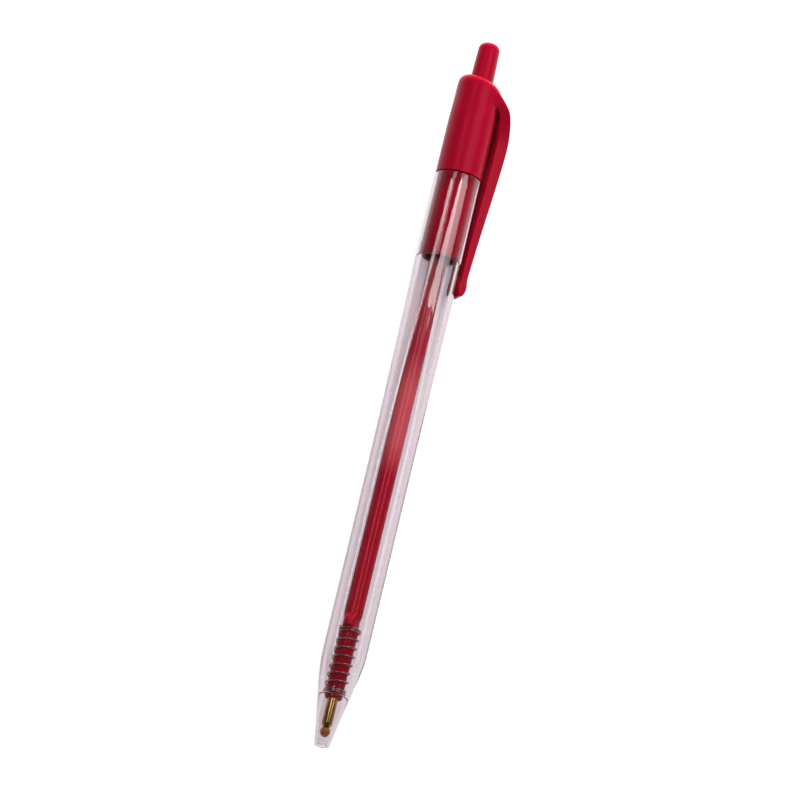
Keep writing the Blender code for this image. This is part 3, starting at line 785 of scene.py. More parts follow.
@dataclass
class Barrel:
    """The clear barrel: a rounded triangle over the grip, round at the top, with a turned nose.

    Attributes are sizes in metres, and heights are above the nose end.
    """

    length: float = 0.1190
    flat_reach: float = 0.0035
    corner_radius: float = 0.0023
    corner_turn: float = math.radians(-41.0)
    grip_end: float = 0.0570
    fade_length: float = 0.0620
    top_radius: float = 0.0047
    top_edge: float = 0.00012
    nose_length: float = 0.0184
    nose_end_radius: float = 0.00152
    nose_lip: float = 0.00032
    nose_sag: float = 0.0001
    tip_hole: float = 0.00118
    nose_land: float = 0.0016
    nose_step: float = 0.0034
    nose_bore: float = 0.00195
    seat: float = 0.0103
    seat_fillet: float = 0.0003
    bore: float = 0.0025
    bore_top: float = 0.00375
    socket_floor: float = 0.1015
    socket: float = 0.0042
    blend: float = 0.00010
    ring_step: float = 0.0004
    nose_rings: int = 60
    lip_rings: int = 6
    grip_rings: int = 8
    fade_rings: int = 30
    edge_rings: int = 3
    bore_rings: int = 20
    steps: int = 180

    def side_reach(self, height: float, angle: float, corner_radius: float, top_radius: float) -> float:
        """How far a side is from the axis: a rounded triangle over the grip that fades to a circle.

        Args:
            height: The height above the nose end.
            angle: The angle from the clip, in radians.
            corner_radius: The radius of the triangle's corners.
            top_radius: The circle's radius.

        Returns:
            The reach in metres.
        """
        fade = ease((height - self.grip_end) / self.fade_length)
        radius = corner_radius + fade * (top_radius - corner_radius)
        offset = 2.0 * (self.flat_reach - self.corner_radius) * (1.0 - fade)
        third = math.tau / 3.0
        turn = (angle - self.corner_turn + third / 2.0) % third - third / 2.0
        limit = math.atan2(radius * math.sin(third / 2.0), offset + radius * math.cos(third / 2.0))
        if abs(turn) > limit:
            return (offset / 2.0 + radius) / math.cos(third / 2.0 - abs(turn))
        return offset * math.cos(turn) + math.sqrt(radius**2 - (offset * math.sin(turn)) ** 2)

    def body_reach(self, height: float, angle: float) -> float:
        """How far the barrel's outside is from the axis, without its nose."""
        return self.side_reach(height, angle, self.corner_radius, self.top_radius)

    def bore_reach(self, height: float, angle: float) -> float:
        """How far the bore is from the axis: a wall inside the outside, with room for the spring.

        Args:
            height: The height above the nose end.
            angle: The angle from the clip, in radians.

        Returns:
            The reach in metres.
        """
        wall = self.flat_reach - self.bore
        side = self.side_reach(height, angle, self.corner_radius - wall, self.bore_top)
        return max(soft_least(side, self.nose_reach(height) - wall, self.blend), self.bore)

    def nose_reach(self, height: float) -> float:
        """How far the nose's cone is from the axis.

        Args:
            height: The height above the nose end.

        Returns:
            The reach in metres.
        """
        corner = 2.0 * (self.flat_reach - self.corner_radius) + self.corner_radius
        share = (height - self.nose_lip) / (self.nose_length - self.nose_lip)
        sag = 4.0 * self.nose_sag * share * (1.0 - share)
        return self.nose_end_radius + (corner - self.nose_end_radius) * share - sag

    def reach(self, height: float, angle: float) -> float:
        """How far the barrel's outside is from the axis, with its nose and rounded ends.

        Args:
            height: The height above the nose end.
            angle: The angle from the clip, in radians.

        Returns:
            The reach in metres.
        """
        if height < self.nose_lip:
            drop = self.nose_lip - height
            return self.nose_end_radius - self.nose_lip + math.sqrt(max(self.nose_lip**2 - drop**2, 0.0))
        softened = soft_least(self.body_reach(height, angle), self.nose_reach(height), self.blend)
        edge = max(height - (self.length - self.top_edge), 0.0)
        return softened - self.top_edge + math.sqrt(max(self.top_edge**2 - edge**2, 0.0))

    def heights(self) -> list[float]:
        """Spaces the rings of the outside, close together where it curves.

        Returns:
            The rings' heights, from the nose end up.
        """
        top = self.length - self.top_edge
        rises = evenly(0.0, 90.0, self.lip_rings)[:-1]
        turns = evenly(0.0, 90.0, self.edge_rings)[1:]
        lip = [self.nose_lip * (1.0 - math.cos(math.radians(angle))) for angle in rises]
        cone = [self.nose_lip + self.ring_step * i for i in range(self.nose_rings)]
        grip = evenly(cone[-1], self.grip_end, self.grip_rings)[1:]
        fade = evenly(self.grip_end, top, self.fade_rings)[1:]
        edge = [top + self.top_edge * math.sin(math.radians(angle)) for angle in turns]
        return lip + cone + grip + fade + edge

    def mesh(self) -> BMesh:
        """Builds the barrel with its bore.

        Returns:
            The shape.
        """
        rough = 2.0 * self.top_radius
        profile = [(rough, height) for height in self.heights()]
        profile += [(self.socket, self.length), (self.socket, self.socket_floor)]
        cone = [self.seat + self.seat_fillet + self.ring_step * i for i in range(self.bore_rings)]
        fade = evenly(self.grip_end, self.socket_floor, self.bore_rings)
        profile += [(self.bore, height) for height in reversed(cone + fade)]
        corner = (self.bore - self.seat_fillet, self.seat + self.seat_fillet)
        profile += arc(corner, self.seat_fillet, 0, -90, 4)
        profile += [(self.nose_bore, self.seat), (self.nose_bore, self.nose_land + self.nose_step)]
        profile += [(self.tip_hole, self.nose_land), (self.tip_hole, 0.0)]
        shape = turned(profile, self.steps, ring=True)
        for vertex in shape.verts:
            radius, angle = polar(vertex)
            if radius > (rough + self.socket) / 2.0:
                reach = self.reach(vertex.co.z, angle)
            elif abs(radius - self.bore) < MERGE_DISTANCE:
                reach = self.bore_reach(vertex.co.z, angle)
            else:
                continue
            vertex.co.x = reach * math.cos(angle)
            vertex.co.y = reach * math.sin(angle)
        bmesh.ops.recalc_face_normals(shape, faces=shape.faces)
        return shape

    def build(self) -> None:
        """Builds and dresses the barrel."""
        made = publish("barrel_clear", self.mesh(), CLEAR.material())
        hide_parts("barrel")
        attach(made, Body.HOUSING.value)


@dataclass
class Station:
    """A place along the clip: its middle, the way it heads, its thickness and its width."""

    reach: float
    height: float
    heading: float
    thickness: float
    width: float


@dataclass
class CapAndClip:
    """The cap with its clip in one moulding, and the sleeve that plugs it into the barrel."""

    foot: float = 0.1193
    rim: float = 0.1406
    foot_radius: float = 0.00465
    top_radius: float = 0.00452
    shoulder: float = 0.0019
    slant: float = math.radians(11.5)
    slant_depth: float = 0.0042
    foot_edge: float = 0.0002
    wall_rings: tuple[float, ...] = (0.1235, 0.1275, 0.1315)
    hole: float = 0.00243
    hole_edge: float = 0.00012
    guide_land: float = 0.0030
    guide_chamfer: float = 0.0004
    bore: float = 0.00297
    sides: int = 24
    smooth_levels: int = 3
    foot_crease: float = 0.9
    root_half_turn: float = math.radians(60.0)
    root_low: float = 0.1347
    root_rows: int = 3
    root_reach: float = 0.00325
    root_drop: float = 0.0032
    root_lean: tuple[float, float] = (0.5, 0.2)
    bow_hang: float = 0.46
    arch_stations: tuple[float, ...] = (0.34, 0.5, 0.66, 0.83, 1.0)
    clip_length: float = 0.0450
    root_width: float = 0.0084
    bow_width: float = 0.0045
    foot_width: float = 0.0036
    bow_drop: float = 0.0136
    bow_gap: float = 0.0009
    bow_thickness: float = 0.00235
    waist_gap: float = 0.00035
    waist_thickness: float = 0.0014
    waist_lift: float = 0.0054
    waist_stations: int = 5
    waist_swing: float = 0.6
    foot_length: float = 0.0036
    foot_thickness: float = 0.0019
    foot_gap: float = 0.00015
    foot_turns: tuple[float, ...] = (-55.0, -10.0, 40.0, 78.0)
    tip_thickness: float = 0.0006
    hinge_length: float = 0.0007
    hinge_slope: float = 0.12
    face_tightness: float = 2.6
    side_tightness: float = 1.6
    inner_turn: float = math.radians(64.0)
    sleeve_end: float = 0.1018
    sleeve_radius: float = 0.0041
    sleeve_bore: float = 0.00297
    sleeve_edge: float = 0.0003
    sleeve_lap: float = 0.0005
    sleeve_sides: int = 96
    barrel: Barrel = field(default_factory=Barrel)

    @property
    def swell(self) -> float:
        """What a ring's radius is divided by, so that it has its size once smoothed."""
        return (2.0 + math.cos(math.tau / self.sides)) / 3.0

    def profile(self) -> Profile:
        """Draws the cap's outline, from its foot up, over the top and down the hole.

        Returns:
            Points as radius and height.
        """
        start = self.rim - self.shoulder
        step = (start - self.root_low) / self.root_rows
        low = (self.foot, self.foot + self.foot_edge)
        outside = [(self.foot_radius, height) for height in (*low, *self.wall_rings)]
        outside += [(self.top_radius, self.root_low + step * i) for i in range(self.root_rows + 1)]
        outside += arc((self.top_radius - self.shoulder, start), self.shoulder, 30, 90, 2)
        land = self.rim - self.guide_land
        inside = [(self.hole + self.hole_edge, self.rim), (self.hole, self.rim - self.hole_edge)]
        inside += [(self.hole, land), (self.bore, land - self.guide_chamfer)]
        inside += [(self.bore, height) for height in reversed(low)]
        return [(radius / self.swell, height) for radius, height in outside + inside]

    def slanted(self, shape: BMesh) -> None:
        """Lowers the cap's top towards the clip.

        Args:
            shape: The cap, which is changed.
        """
        for vertex in shape.verts:
            share = max(vertex.co.z - self.rim + self.slant_depth, 0.0) / self.slant_depth
            reach = max(vertex.co.x + self.foot_radius, 0.0)
            vertex.co.z -= math.tan(self.slant) * reach * ease(share)

    def arch(self, share: float) -> Vector:
        """Follows the clip's middle line from the cap to its bow.

        Args:
            share: How far along the line the point is, from its root (0) to its bow (1).

        Returns:
            The point's reach and height.
        """
        end = Vector((self.foot_radius + self.bow_gap + self.bow_thickness / 2.0, self.rim - self.bow_drop))
        start = Vector((self.root_reach, self.rim - self.root_drop))
        run = end - start
        lean_out, lean_down = self.root_lean
        lean = start + Vector((run.x * lean_out, run.y * lean_down))
        hang = end - Vector((0.0, run.y * self.bow_hang))
        rest = 1.0 - share
        return rest**3 * start + 3 * rest**2 * share * lean + 3 * rest * share**2 * hang + share**3 * end

    def stations(self) -> list[Station]:
        """Places the clip's stations, from the cap to the tip of its foot.

        Returns:
            The stations in order.
        """
        line = [(self.arch(share), self.bow_thickness) for share in self.arch_stations]
        bow = line[-1][0]
        low = self.rim - self.clip_length
        waist_height = low + self.waist_lift
        side = self.barrel.body_reach(waist_height, 0.0) + self.waist_gap
        waist = Vector((side + self.waist_thickness / 2.0, waist_height))
        for i in range(1, self.waist_stations + 1):
            share = i / self.waist_stations
            swing = self.waist_swing * ease(share) + (1.0 - self.waist_swing) * share
            spot = Vector((bow.x + (waist.x - bow.x) * swing, bow.y + (waist.y - bow.y) * share))
            line.append((spot, self.bow_thickness + (self.waist_thickness - self.bow_thickness) * share))
        half = self.foot_length / 2.0
        touch = self.barrel.body_reach(low + half, 0.0) + self.foot_gap
        foot = touch + self.foot_thickness / 2.0
        for turn in self.foot_turns:
            angle = math.radians(turn)
            thickness = max(self.foot_thickness * math.cos(angle), self.tip_thickness)
            line.append((Vector((foot, low + half - half * math.sin(angle))), thickness))
        made = []
        for i, (spot, thickness) in enumerate(line):
            ahead = line[min(i + 1, len(line) - 1)][0] - line[max(i - 1, 0)][0]
            heading = math.atan2(ahead.y, ahead.x)
            made.append(Station(spot.x, spot.y, heading, thickness, self.clip_width(spot.y)))
        return made

    def clip_width(self, height: float) -> float:
        """The clip's width, which narrows from its root to its bow and on to its foot.

        Args:
            height: The height above the nose end.

        Returns:
            The width in metres.
        """
        drop = self.rim - height
        if drop < self.bow_drop:
            return self.root_width + (self.bow_width - self.root_width) * ease(drop / self.bow_drop)
        share = (drop - self.bow_drop) / (self.clip_length - self.bow_drop)
        return self.bow_width + (self.foot_width - self.bow_width) * share

    def grow_clip(self, shape: BMesh) -> None:
        """Extrudes the clip out of the cap's shoulder, station by station.

        Args:
            shape: The cap, which is changed.
        """
        start = self.rim - self.shoulder
        step = (start - self.root_low) / self.root_rows
        columns = round(2.0 * self.root_half_turn / (math.tau / self.sides))
        places: dict[BMVert, tuple[float, float]] = {}
        for vertex in shape.verts:
            radius, angle = polar(vertex)
            column = angle / (math.tau / self.sides)
            row = (vertex.co.z - self.root_low) / step
            outer = radius > (self.bore + self.top_radius) / 2.0
            beside = abs(column) < columns / 2.0 + PATCH_SLACK
            if outer and beside and -PATCH_SLACK < row < self.root_rows + PATCH_SLACK:
                places[vertex] = (2.0 * column / columns, 2.0 * row / self.root_rows - 1.0)
        faces = [face for face in shape.faces if all(vertex in places for vertex in face.verts)]
        self.slanted(shape)
        for station in self.stations():
            faces, places = self.extruded(shape, faces, places)
            out = Vector((math.sin(station.heading), -math.cos(station.heading)))
            out = out if out.x > 0.0 else -out
            for vertex, (across, lift) in places.items():
                lifted = out * self.tight(lift, self.face_tightness) * station.thickness / 2.0
                spot = Vector((station.reach, station.height)) + lifted
                aside = self.tight(across, self.side_tightness) * station.width / 2.0
                vertex.co = (spot.x, aside, spot.y)

    def tight(self, place: float, tightness: float) -> float:
        """Moves a place from -1 to 1 towards the nearer end, for crisper edges."""
        return math.copysign(1.0 - max(1.0 - abs(place), 0.0) ** tightness, place)

    def extruded(
        self, shape: BMesh, faces: list[BMFace], places: dict[BMVert, tuple[float, float]]
    ) -> tuple[list[BMFace], dict[BMVert, tuple[float, float]]]:
        """Extrudes a patch of faces where it is.

        Args:
            shape: The mesh, which is changed.
            faces: The patch.
            places: Each of its vertices' place across and up the patch, from -1 to 1.

        Returns:
            The new patch and its vertices' places.
        """
        spots = {spot_key(vertex): place for vertex, place in places.items()}
        grown = bmesh.ops.extrude_face_region(shape, geom=faces)["geom"]
        bmesh.ops.delete(shape, geom=[face for face in faces if face.is_valid], context="FACES")
        patch = [item for item in grown if isinstance(item, BMFace)]
        fresh = {item for item in grown if isinstance(item, BMVert)}
        return patch, {vertex: spots[spot_key(vertex)] for vertex in fresh}

    def creased(self, shape: BMesh) -> None:
        """Marks the edges that stay crisp when the cap is smoothed.

        Args:
            shape: The cap with its clip, which is changed.
        """
        crease = shape.edges.layers.float.new("crease_edge")
        for edge in shape.edges:
            if all(abs(vertex.co.z - self.foot) < FLATNESS for vertex in edge.verts):
                edge[crease] = self.foot_crease

    def head(self) -> BMesh:
        """Builds the cap with its clip.

        Returns:
            The shape, to be smoothed.
        """
        shape = turned(self.profile(), self.sides, ring=True)
        self.grow_clip(shape)
        self.creased(shape)
        bmesh.ops.recalc_face_normals(shape, faces=shape.faces)
        return shape

    def sleeve(self) -> BMesh:
        """Builds the sleeve under the cap.

        Returns:
            The shape.
        """
        top = self.foot + self.sleeve_lap
        edge = self.sleeve_edge
        profile = [(self.sleeve_bore, self.sleeve_end), (self.sleeve_radius - edge, self.sleeve_end)]
        profile += arc((self.sleeve_radius - edge, self.sleeve_end + edge), edge, -60, 0, 3)
        profile += [(self.sleeve_radius, top), (self.sleeve_bore, top)]
        return turned(profile, self.sleeve_sides, ring=True)

    def dress_inner_face_painted_light(self, mesh: Mesh) -> None:
        """Gives the clip's face towards the barrel a matt finish in a lighter red, painted light where that
        face lies in shade.

        Args:
            mesh: The cap with its clip, where it lies, which is changed.
        """
        mesh.materials.append(RED_MATT_PAINTED_LIGHT.material())
        back = PEN.matrix.inverted()
        for face in mesh.polygons:
            spot = back @ face.center
            if spot.x > self.foot_radius and face.normal.dot(PEN.clip_way) < -math.cos(self.inner_turn):
                face.material_index = 1

    def build(self) -> None:
        """Builds and dresses the cap, its clip and its sleeve."""
        head = publish("cap_and_clip", self.head(), RED.material(), self.smooth_levels)
        self.dress_inner_face_painted_light(head.data)
        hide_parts("clip_cap", "clip_arm")
        bottom = Vector((self.foot_radius, self.foot))
        way = Vector((1.0, -self.hinge_slope)) / (1.0 + self.hinge_slope**2)
        finish = bottom + way * self.hinge_length
        PEN.point(*bottom)
        PEN.point(*finish)
        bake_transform(head)
        sleeve = publish("cap_sleeve", self.sleeve(), RED_POLISHED_PAINTED_LIGHT.material())
        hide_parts("clip_cap")
        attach(sleeve, Body.HOUSING.value)


@dataclass
class Button:
    """The push button, and the rotor that it pushes."""

    top: float = 0.1480
    radius: float = 0.0023
    tip_radius: float = 0.00215
    edge: float = 0.0014
    crown: float = 0.00012
    foot: float = 0.1197
    bore: float = 0.0012
    bore_top: float = 0.1440
    waist: float = 0.1406
    sides: int = 96

    def mesh(self) -> BMesh:
        """Builds the button, hollow from below.

        Returns:
            The shape.
        """
        centre = (self.tip_radius - self.edge, self.top - self.crown - self.edge)
        profile = [(0.0, self.bore_top), (self.bore, self.bore_top - self.bore / 2.0), (self.bore, self.foot)]
        profile += [(self.radius, self.foot), (self.radius, self.waist)]
        profile += arc(centre, self.edge, 0, 84, 12)
        profile.append((0.0, self.top))
        return turned(profile, self.sides)

    def build(self) -> None:
        """Builds and dresses the button, and dresses the rotor, whose CAD shape shows."""
        made = publish("button_shaft", self.mesh(), RED.material())
        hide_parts("push_button")
        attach(made, Body.BUTTON.value)
        rotor = frame["nodes"]["rotor_cam"]
        rotor.data.materials.clear()
        rotor.data.materials.append(RED.material())
        LOG.info("rotor_cam: %d faces", len(rotor.data.polygons))


@dataclass
class Refill:
    """The refill: tube with its pinched ears, ink, brass point, ball and wax bead."""

    tube_front: float = 0.00998
    tube_top: float = 0.11325
    tube_radius: float = 0.0018
    tube_bore: float = 0.0011
    tube_edge: float = 0.00012
    ear_height: float = 0.02455
    ear_length: float = 0.0010
    ear_reach: float = 0.0023
    pinch_reach: float = 0.00145
    pinch_start: float = 0.0006
    pinch_rise: float = 0.0004
    pinch_fade: float = 0.0016
    pinch_rings: int = 24
    ear_turn: float = math.radians(49.0)
    ear_sharpness: int = 3
    ink_foot: float = 0.0161
    ink_top: float = 0.0857
    # Where the tube's painted reflection haze starts.
    painted_haze_start: float = 0.0560
    ink_radius: float = 0.00105
    ink_neck_radius: float = 0.00084
    ink_neck: float = 0.0273
    ink_shoulder: float = 0.0288
    ink_dip: float = 0.000735
    dip_steps: int = 8
    point_radius: float = 0.00105
    point_round: float = 0.0008
    groove: float = 0.0088
    groove_depth: float = 0.00008
    groove_slope: float = 0.00006
    groove_floor: float = 0.0002
    stub_top: float = 0.01598
    neck_radius: float = 0.0007
    neck: float = 0.00373
    shank: float = 0.00473
    lip: float = 0.00253
    lip_radius: float = 0.00063
    ball_height: float = 0.00273
    ball_radius: float = 0.0005
    socket: float = 0.00053
    seal_front: float = 0.0019
    seal_radius: float = 0.00098
    seal_half: float = 0.0011
    seal_gap: float = 0.00003
    sides: int = 96

    def pinch(self, height: float, angle: float, radius: float) -> float:
        """How far a point of the tube is from the axis near its ears.

        Args:
            height: The point's height above the nose end.
            angle: Its angle from the clip, in radians.
            radius: Its distance from the axis on the plain tube.

        Returns:
            The new distance.
        """
        below = (height - self.ear_height + self.pinch_rise) / self.pinch_rise
        above = (self.ear_height + self.ear_length + self.pinch_fade - height) / self.pinch_fade
        share = ease(min(below, above))
        eared = abs(math.cos(angle - self.ear_turn)) ** self.ear_sharpness
        reach = self.ear_reach * eared + self.pinch_reach * (1.0 - eared)
        return radius * (1.0 + share * (reach / self.tube_radius - 1.0))

    def tube(self) -> BMesh:
        """Builds the tube with its ears.

        Returns:
            The shape.
        """
        high = self.ear_height + self.ear_length + self.pinch_fade
        rings = evenly(self.ear_height - self.pinch_start, high, self.pinch_rings)
        edge = self.tube_edge
        outside = arc((self.tube_radius - edge, self.tube_front + edge), edge, -90, 0, 3)
        outside += [(self.tube_radius, height) for height in rings]
        outside.append((self.tube_radius, self.tube_top))
        inside = [(self.tube_bore, self.tube_top)]
        inside += [(self.tube_bore, height) for height in reversed(rings)]
        inside.append((self.tube_bore, self.tube_front))
        shape = turned(outside + inside, self.sides, ring=True)
        for vertex in shape.verts:
            reach, angle = polar(vertex)
            pinched = self.pinch(vertex.co.z, angle, reach)
            vertex.co.x *= pinched / reach
            vertex.co.y *= pinched / reach
        return shape

    def ink(self) -> BMesh:
        """Builds the ink column, with its hollow top.

        Returns:
            The shape.
        """
        profile = [(0.0, self.ink_foot), (self.ink_neck_radius, self.ink_foot)]
        profile += [(self.ink_neck_radius, self.ink_neck), (self.ink_radius, self.ink_shoulder)]
        for i in range(self.dip_steps + 1):
            share = 1.0 - i / self.dip_steps
            profile.append((self.ink_radius * share, self.ink_top - self.ink_dip * (1.0 - share**2)))
        return turned(profile, self.sides)

    def point(self) -> BMesh:
        """Builds the brass point, with its ball's socket and turned grooves.

        Returns:
            The shape.
        """
        sink = math.asin((self.lip - self.ball_height) / self.socket)
        cup = arc((0.0, self.ball_height), self.socket, 90.0, math.degrees(sink), 10)
        profile = cup + [(self.lip_radius, self.lip), (self.neck_radius, self.neck)]
        profile += arc((self.point_radius - self.point_round, self.shank), self.point_round, -50, 0, 5)
        low = self.groove + self.groove_slope
        high = low + self.groove_floor
        floor = self.point_radius - self.groove_depth
        profile += [(self.point_radius, self.groove), (floor, low), (floor, high)]
        profile += [(self.point_radius, high + self.groove_slope)]
        profile += [(self.point_radius, self.stub_top), (0.0, self.stub_top)]
        return turned(profile, self.sides)

    def ball(self) -> BMesh:
        """Builds the ball.

        Returns:
            The shape.
        """
        shape = bmesh.new()
        place = Matrix.Translation((0.0, 0.0, self.ball_height))
        bmesh.ops.create_icosphere(shape, subdivisions=4, radius=self.ball_radius, matrix=place)
        return shape

    def seal(self) -> BMesh:
        """Builds the wax bead over the tip.

        Returns:
            The shape.
        """
        oval = arc((0.0, 0.0), 1.0, -90, 38, 16)
        middle = self.seal_front + self.seal_half
        profile = [(self.seal_radius * x, middle + self.seal_half * z) for x, z in oval]
        rear = profile[-1][1]
        taper = (self.neck_radius - self.lip_radius) / (self.neck - self.lip)
        rim = self.lip - self.seal_gap
        cavity = self.ball_radius + self.seal_gap
        profile.append((self.lip_radius + taper * (rear - self.lip) + self.seal_gap, rear))
        profile.append((self.lip_radius + self.seal_gap, rim))
        sink = math.degrees(math.asin((rim - self.ball_height) / cavity))
        profile += arc((0.0, self.ball_height), cavity, sink, -90, 8)
        return turned(profile, self.sides)

    def build(self) -> None:
        """Builds and dresses the refill's pieces."""
        # The tube's pale colour is a painted reflection haze along the upper ink.
        plastic = TubePlastic(
            "tinted_tube", painted_haze_start=self.painted_haze_start, ink_top=self.ink_top,
            deep=(0.500, 0.005, 0.025), pale=(0.760, 0.130, 0.150), crown=(0.500, 0.030, 0.050),
            # The bare colour also paints near-white highlight streaks.
            empty=(0.540, 0.070, 0.085), bare_and_painted_highlight=(0.920, 0.760, 0.760), lamp_tint=(0.92, 0.60, 0.65),
        )
        pieces = (
            ("refill_sleeve_tube", self.tube(), plastic.material(), "refill_tube", Slot.TUBE, Body.REFILL),
            ("ink_fill", self.ink(), INK.material(), "ink_column", Slot.INK, Body.REFILL),
            ("brass_point", self.point(), BRASS.material(), "point_housing", Slot.BRASS, Body.REFILL),
            ("wax_bead", self.seal(), WAX.material(), "tip_seal", Slot.WAX, Body.REFILL),
            ("point_ball", self.ball(), CARBIDE.material(), "writing_ball", Slot.CARBIDE, Body.BALL),
        )
        for name, shape, material, node, slot, body in pieces:
            made = publish(name, shape, material)
            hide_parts(node)
            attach(made, body.value)


@dataclass
class Spring:
    """The return spring, with close turns at both ends."""

    radius: float = 0.002115
    wire: float = 0.00037
    low: float = 0.01045
    high: float = 0.02440
    end_turns: float = 1.75
    end_pitch: float = 0.00040
    open_turns: float = 7.0
    turn_steps: int = 40
    wire_sides: int = 14

    def wound(self, shape: BMesh, ring: list, turns: float, pitch: float) -> list:
        """Winds a ring of wire on along the spring.

        Args:
            shape: The mesh, which is changed.
            ring: The vertices and edges where the wire ends so far.
            turns: How many turns are added.
            pitch: How far each turn rises.

        Returns:
            The vertices and edges where the wire ends now.
        """
        steps = round(turns * self.turn_steps)
        rise = (0.0, 0.0, pitch * turns / steps)
        grown = bmesh.ops.spin(
            shape, geom=ring, cent=(0.0, 0.0, 0.0), axis=(0.0, 0.0, 1.0), dvec=rise,
            angle=math.tau * turns, steps=steps,
        )
        return grown["geom_last"]

    def mesh(self) -> BMesh:
        """Builds the spring.

        Returns:
            The shape.
        """
        shape = bmesh.new()
        start = self.low + self.wire / 2.0
        place = Matrix.Translation((self.radius, 0.0, start)) @ Matrix.Rotation(math.pi / 2.0, 4, "X")
        bmesh.ops.create_circle(shape, segments=self.wire_sides, radius=self.wire / 2.0, matrix=place)
        ring = list(shape.verts) + list(shape.edges)
        first = [item for item in ring if isinstance(item, BMEdge)]
        span = self.high - self.low - self.wire
        pitch = (span - 2.0 * self.end_turns * self.end_pitch) / self.open_turns
        ring = self.wound(shape, ring, self.end_turns, self.end_pitch)
        ring = self.wound(shape, ring, self.open_turns, pitch)
        ring = self.wound(shape, ring, self.end_turns, self.end_pitch)
        last = [item for item in ring if isinstance(item, BMEdge)]
        bmesh.ops.edgeloop_fill(shape, edges=first)
        bmesh.ops.edgeloop_fill(shape, edges=last)
        bmesh.ops.recalc_face_normals(shape, faces=shape.faces)
        return shape

    def build(self) -> None:
        """Builds and dresses the spring at rest; it works out where the spring's ends are, but nothing uses
        them.
        """
        made = publish("coil_spring", self.mesh(), STEEL.material())
        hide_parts("return_spring")
        end = self.end_turns * self.end_pitch + self.wire
        start = PEN.point(0.0, self.low + end)
        finish = PEN.point(0.0, self.high - end)
        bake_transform(made)


@dataclass(frozen=True)
class Lamp:
    """A soft lamp that faces the pen.

    Attributes:
        name: Its name.
        place: Where it hangs.
        size: Its width and its length.
        radiance: How bright its face is, where white is 1.
        mirrored: True if glossy surfaces mirror it.
    """

    name: str
    place: tuple[float, float, float]
    size: tuple[float, float]
    radiance: float
    mirrored: bool = True


LAMPS = (
    Lamp("key", (0.30, -0.40, 0.60), (0.32, 0.40), 3.9),
    Lamp("strip", (0.20, 0.26, 0.68), (0.10, 0.36), 7.0),
    Lamp("near_strip", (0.112, -0.070, 0.25), (0.045, 0.06), 9.0),
    Lamp("top_end", (0.69, -0.06, 0.13), (0.30, 0.22), 50.0, mirrored=False),
)


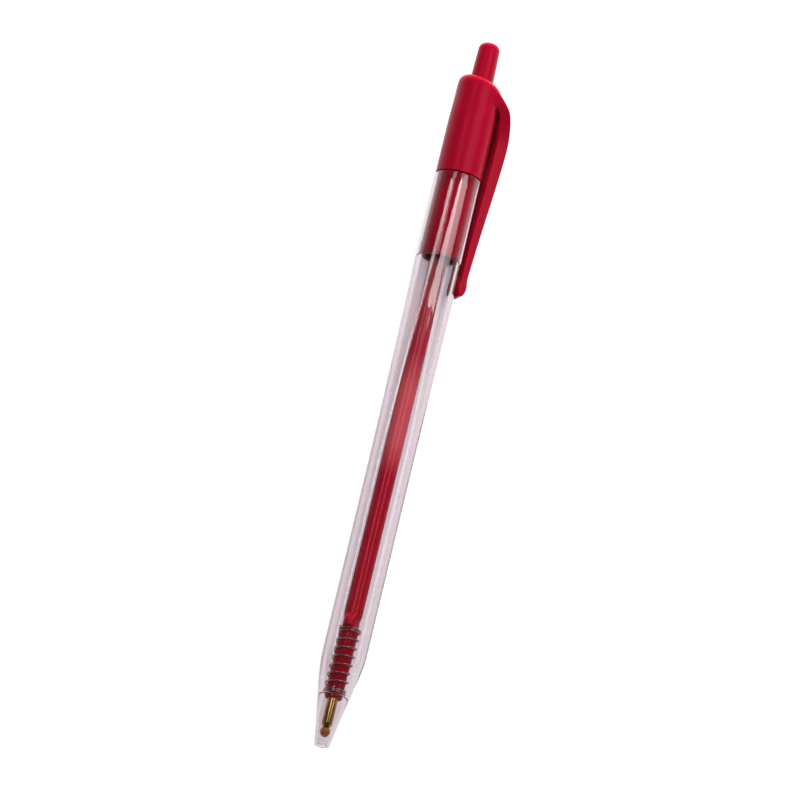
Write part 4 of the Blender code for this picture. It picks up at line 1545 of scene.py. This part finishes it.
@dataclass
class Studio:
    """A white floor, the surroundings, the lamps and the camera."""

    floor_size: float = 6.0
    floor_glow: float = 0.84
    floor_glow_mirrored: float = 0.34
    floor_shade: float = 0.30
    floor_shade_mirrored: float = 0.85
    ambient: float = 0.36
    overhead: float = 0.07
    horizon: float = 0.35
    dusk: tuple[float, float] = (0.15, 0.55)
    lens: float = 400.0
    distance: float = 1.750
    elevation: float = math.radians(74.0)
    roll: float = math.radians(13.55)
    aim_height: float = 0.0740
    shift_right: float = 0.0014
    shift_up: float = 0.0018

    def floor(self) -> None:
        """Lays the floor: white to the eye, and still darker where the pen shades it."""
        shape = bmesh.new()
        bmesh.ops.create_grid(shape, x_segments=4, y_segments=4, size=self.floor_size / 2.0)
        made = meshed("floor", shape)
        graph = Graph.plain("floor_paper")
        graph.surface(Roughness=1.0, Specular_IOR_Level=0.0, Emission_Color=(1.0, 1.0, 1.0, 1.0))
        shade = {Ray.CAMERA: self.floor_shade - self.floor_shade_mirrored}
        glow = {Ray.CAMERA: self.floor_glow, Ray.GLOSSY: self.floor_glow_mirrored}
        graph.feed(Base_Color=graph.by_ray(shade, self.floor_shade_mirrored))
        graph.feed(Emission_Strength=graph.by_ray(glow))
        made.data.materials.append(graph.owner)

    def world(self) -> None:
        """Makes the surroundings: an even fill, which mirrors and clear walls see as dark overhead."""
        graph = Graph(bpy.data.worlds.new("studio"))
        bpy.context.scene.world = graph.owner
        fill = graph.nodes["Background"]
        fill.inputs["Color"].default_value = (1.0, 1.0, 1.0, 1.0)
        graph.join(graph.by_ray({Ray.CAMERA: 1.0 - self.ambient}, self.ambient), fill.inputs["Strength"])
        coordinates = graph.node("ShaderNodeTexCoord")
        parts = graph.node("ShaderNodeSeparateXYZ")
        graph.join(coordinates.outputs["Generated"], parts.inputs["Vector"])
        shades = graph.ramp(parts.outputs["Z"], self.dusk, (grey(self.horizon), grey(self.overhead)))
        dome = graph.node("ShaderNodeBackground")
        graph.join(shades, dome.inputs["Color"])
        rays = graph.node("ShaderNodeLightPath")
        mixed = graph.node("ShaderNodeMixShader")
        graph.join(rays.outputs[Ray.GLOSSY.value], mixed.inputs["Fac"])
        graph.join(fill.outputs["Background"], mixed.inputs[1])
        graph.join(dome.outputs["Background"], mixed.inputs[2])
        graph.join(mixed.outputs["Shader"], graph.nodes["World Output"].inputs["Surface"])

    def hang(self, lamp: Lamp) -> None:
        """Hangs a lamp so that it faces the pen.

        Args:
            lamp: The lamp.
        """
        light = bpy.data.lights.new(lamp.name, "AREA")
        light.shape = "RECTANGLE"
        light.size, light.size_y = lamp.size
        light.energy = lamp.radiance * math.pi * light.size * light.size_y
        made = placed(lamp.name, light)
        made.location = lamp.place
        made.rotation_euler = (-made.location).to_track_quat("-Z", "Y").to_euler()
        made.visible_glossy = lamp.mirrored

    def camera(self) -> None:
        """Sets the camera at the photograph's viewing angle."""
        data = bpy.data.cameras.new("camera")
        data.lens = self.lens
        data.clip_start = 0.01
        made = placed("camera", data)
        back = Vector((-math.cos(self.elevation), 0.0, math.sin(self.elevation)))
        up = Vector((math.sin(self.elevation), 0.0, math.cos(self.elevation)))
        right = Vector((0.0, -1.0, 0.0))
        turn = Matrix.Rotation(self.roll, 3, back)
        basis = Matrix((turn @ right, turn @ up, back)).transposed()
        aim = PEN.point(0.0, self.aim_height) - basis @ Vector((self.shift_right, self.shift_up, 0.0))
        made.matrix_world = Matrix.Translation(aim + back * self.distance) @ basis.to_4x4()
        bpy.context.scene.camera = made

    def build(self) -> None:
        """Sets up the floor, the surroundings, the lamps and the camera."""
        bpy.context.scene.view_settings.view_transform = "Standard"
        self.floor()
        self.world()
        for lamp in LAMPS:
            self.hang(lamp)
        self.camera()


def main() -> None:
    """Builds the pen's pieces in order, and the studio round it."""
    logging.basicConfig(level=logging.INFO, format="%(name)s: %(message)s")
    Studio().build()
    Barrel().build()
    CapAndClip().build()
    Button().build()
    Refill().build()
    Spring().build()


if __name__ == "__main__":
    main()
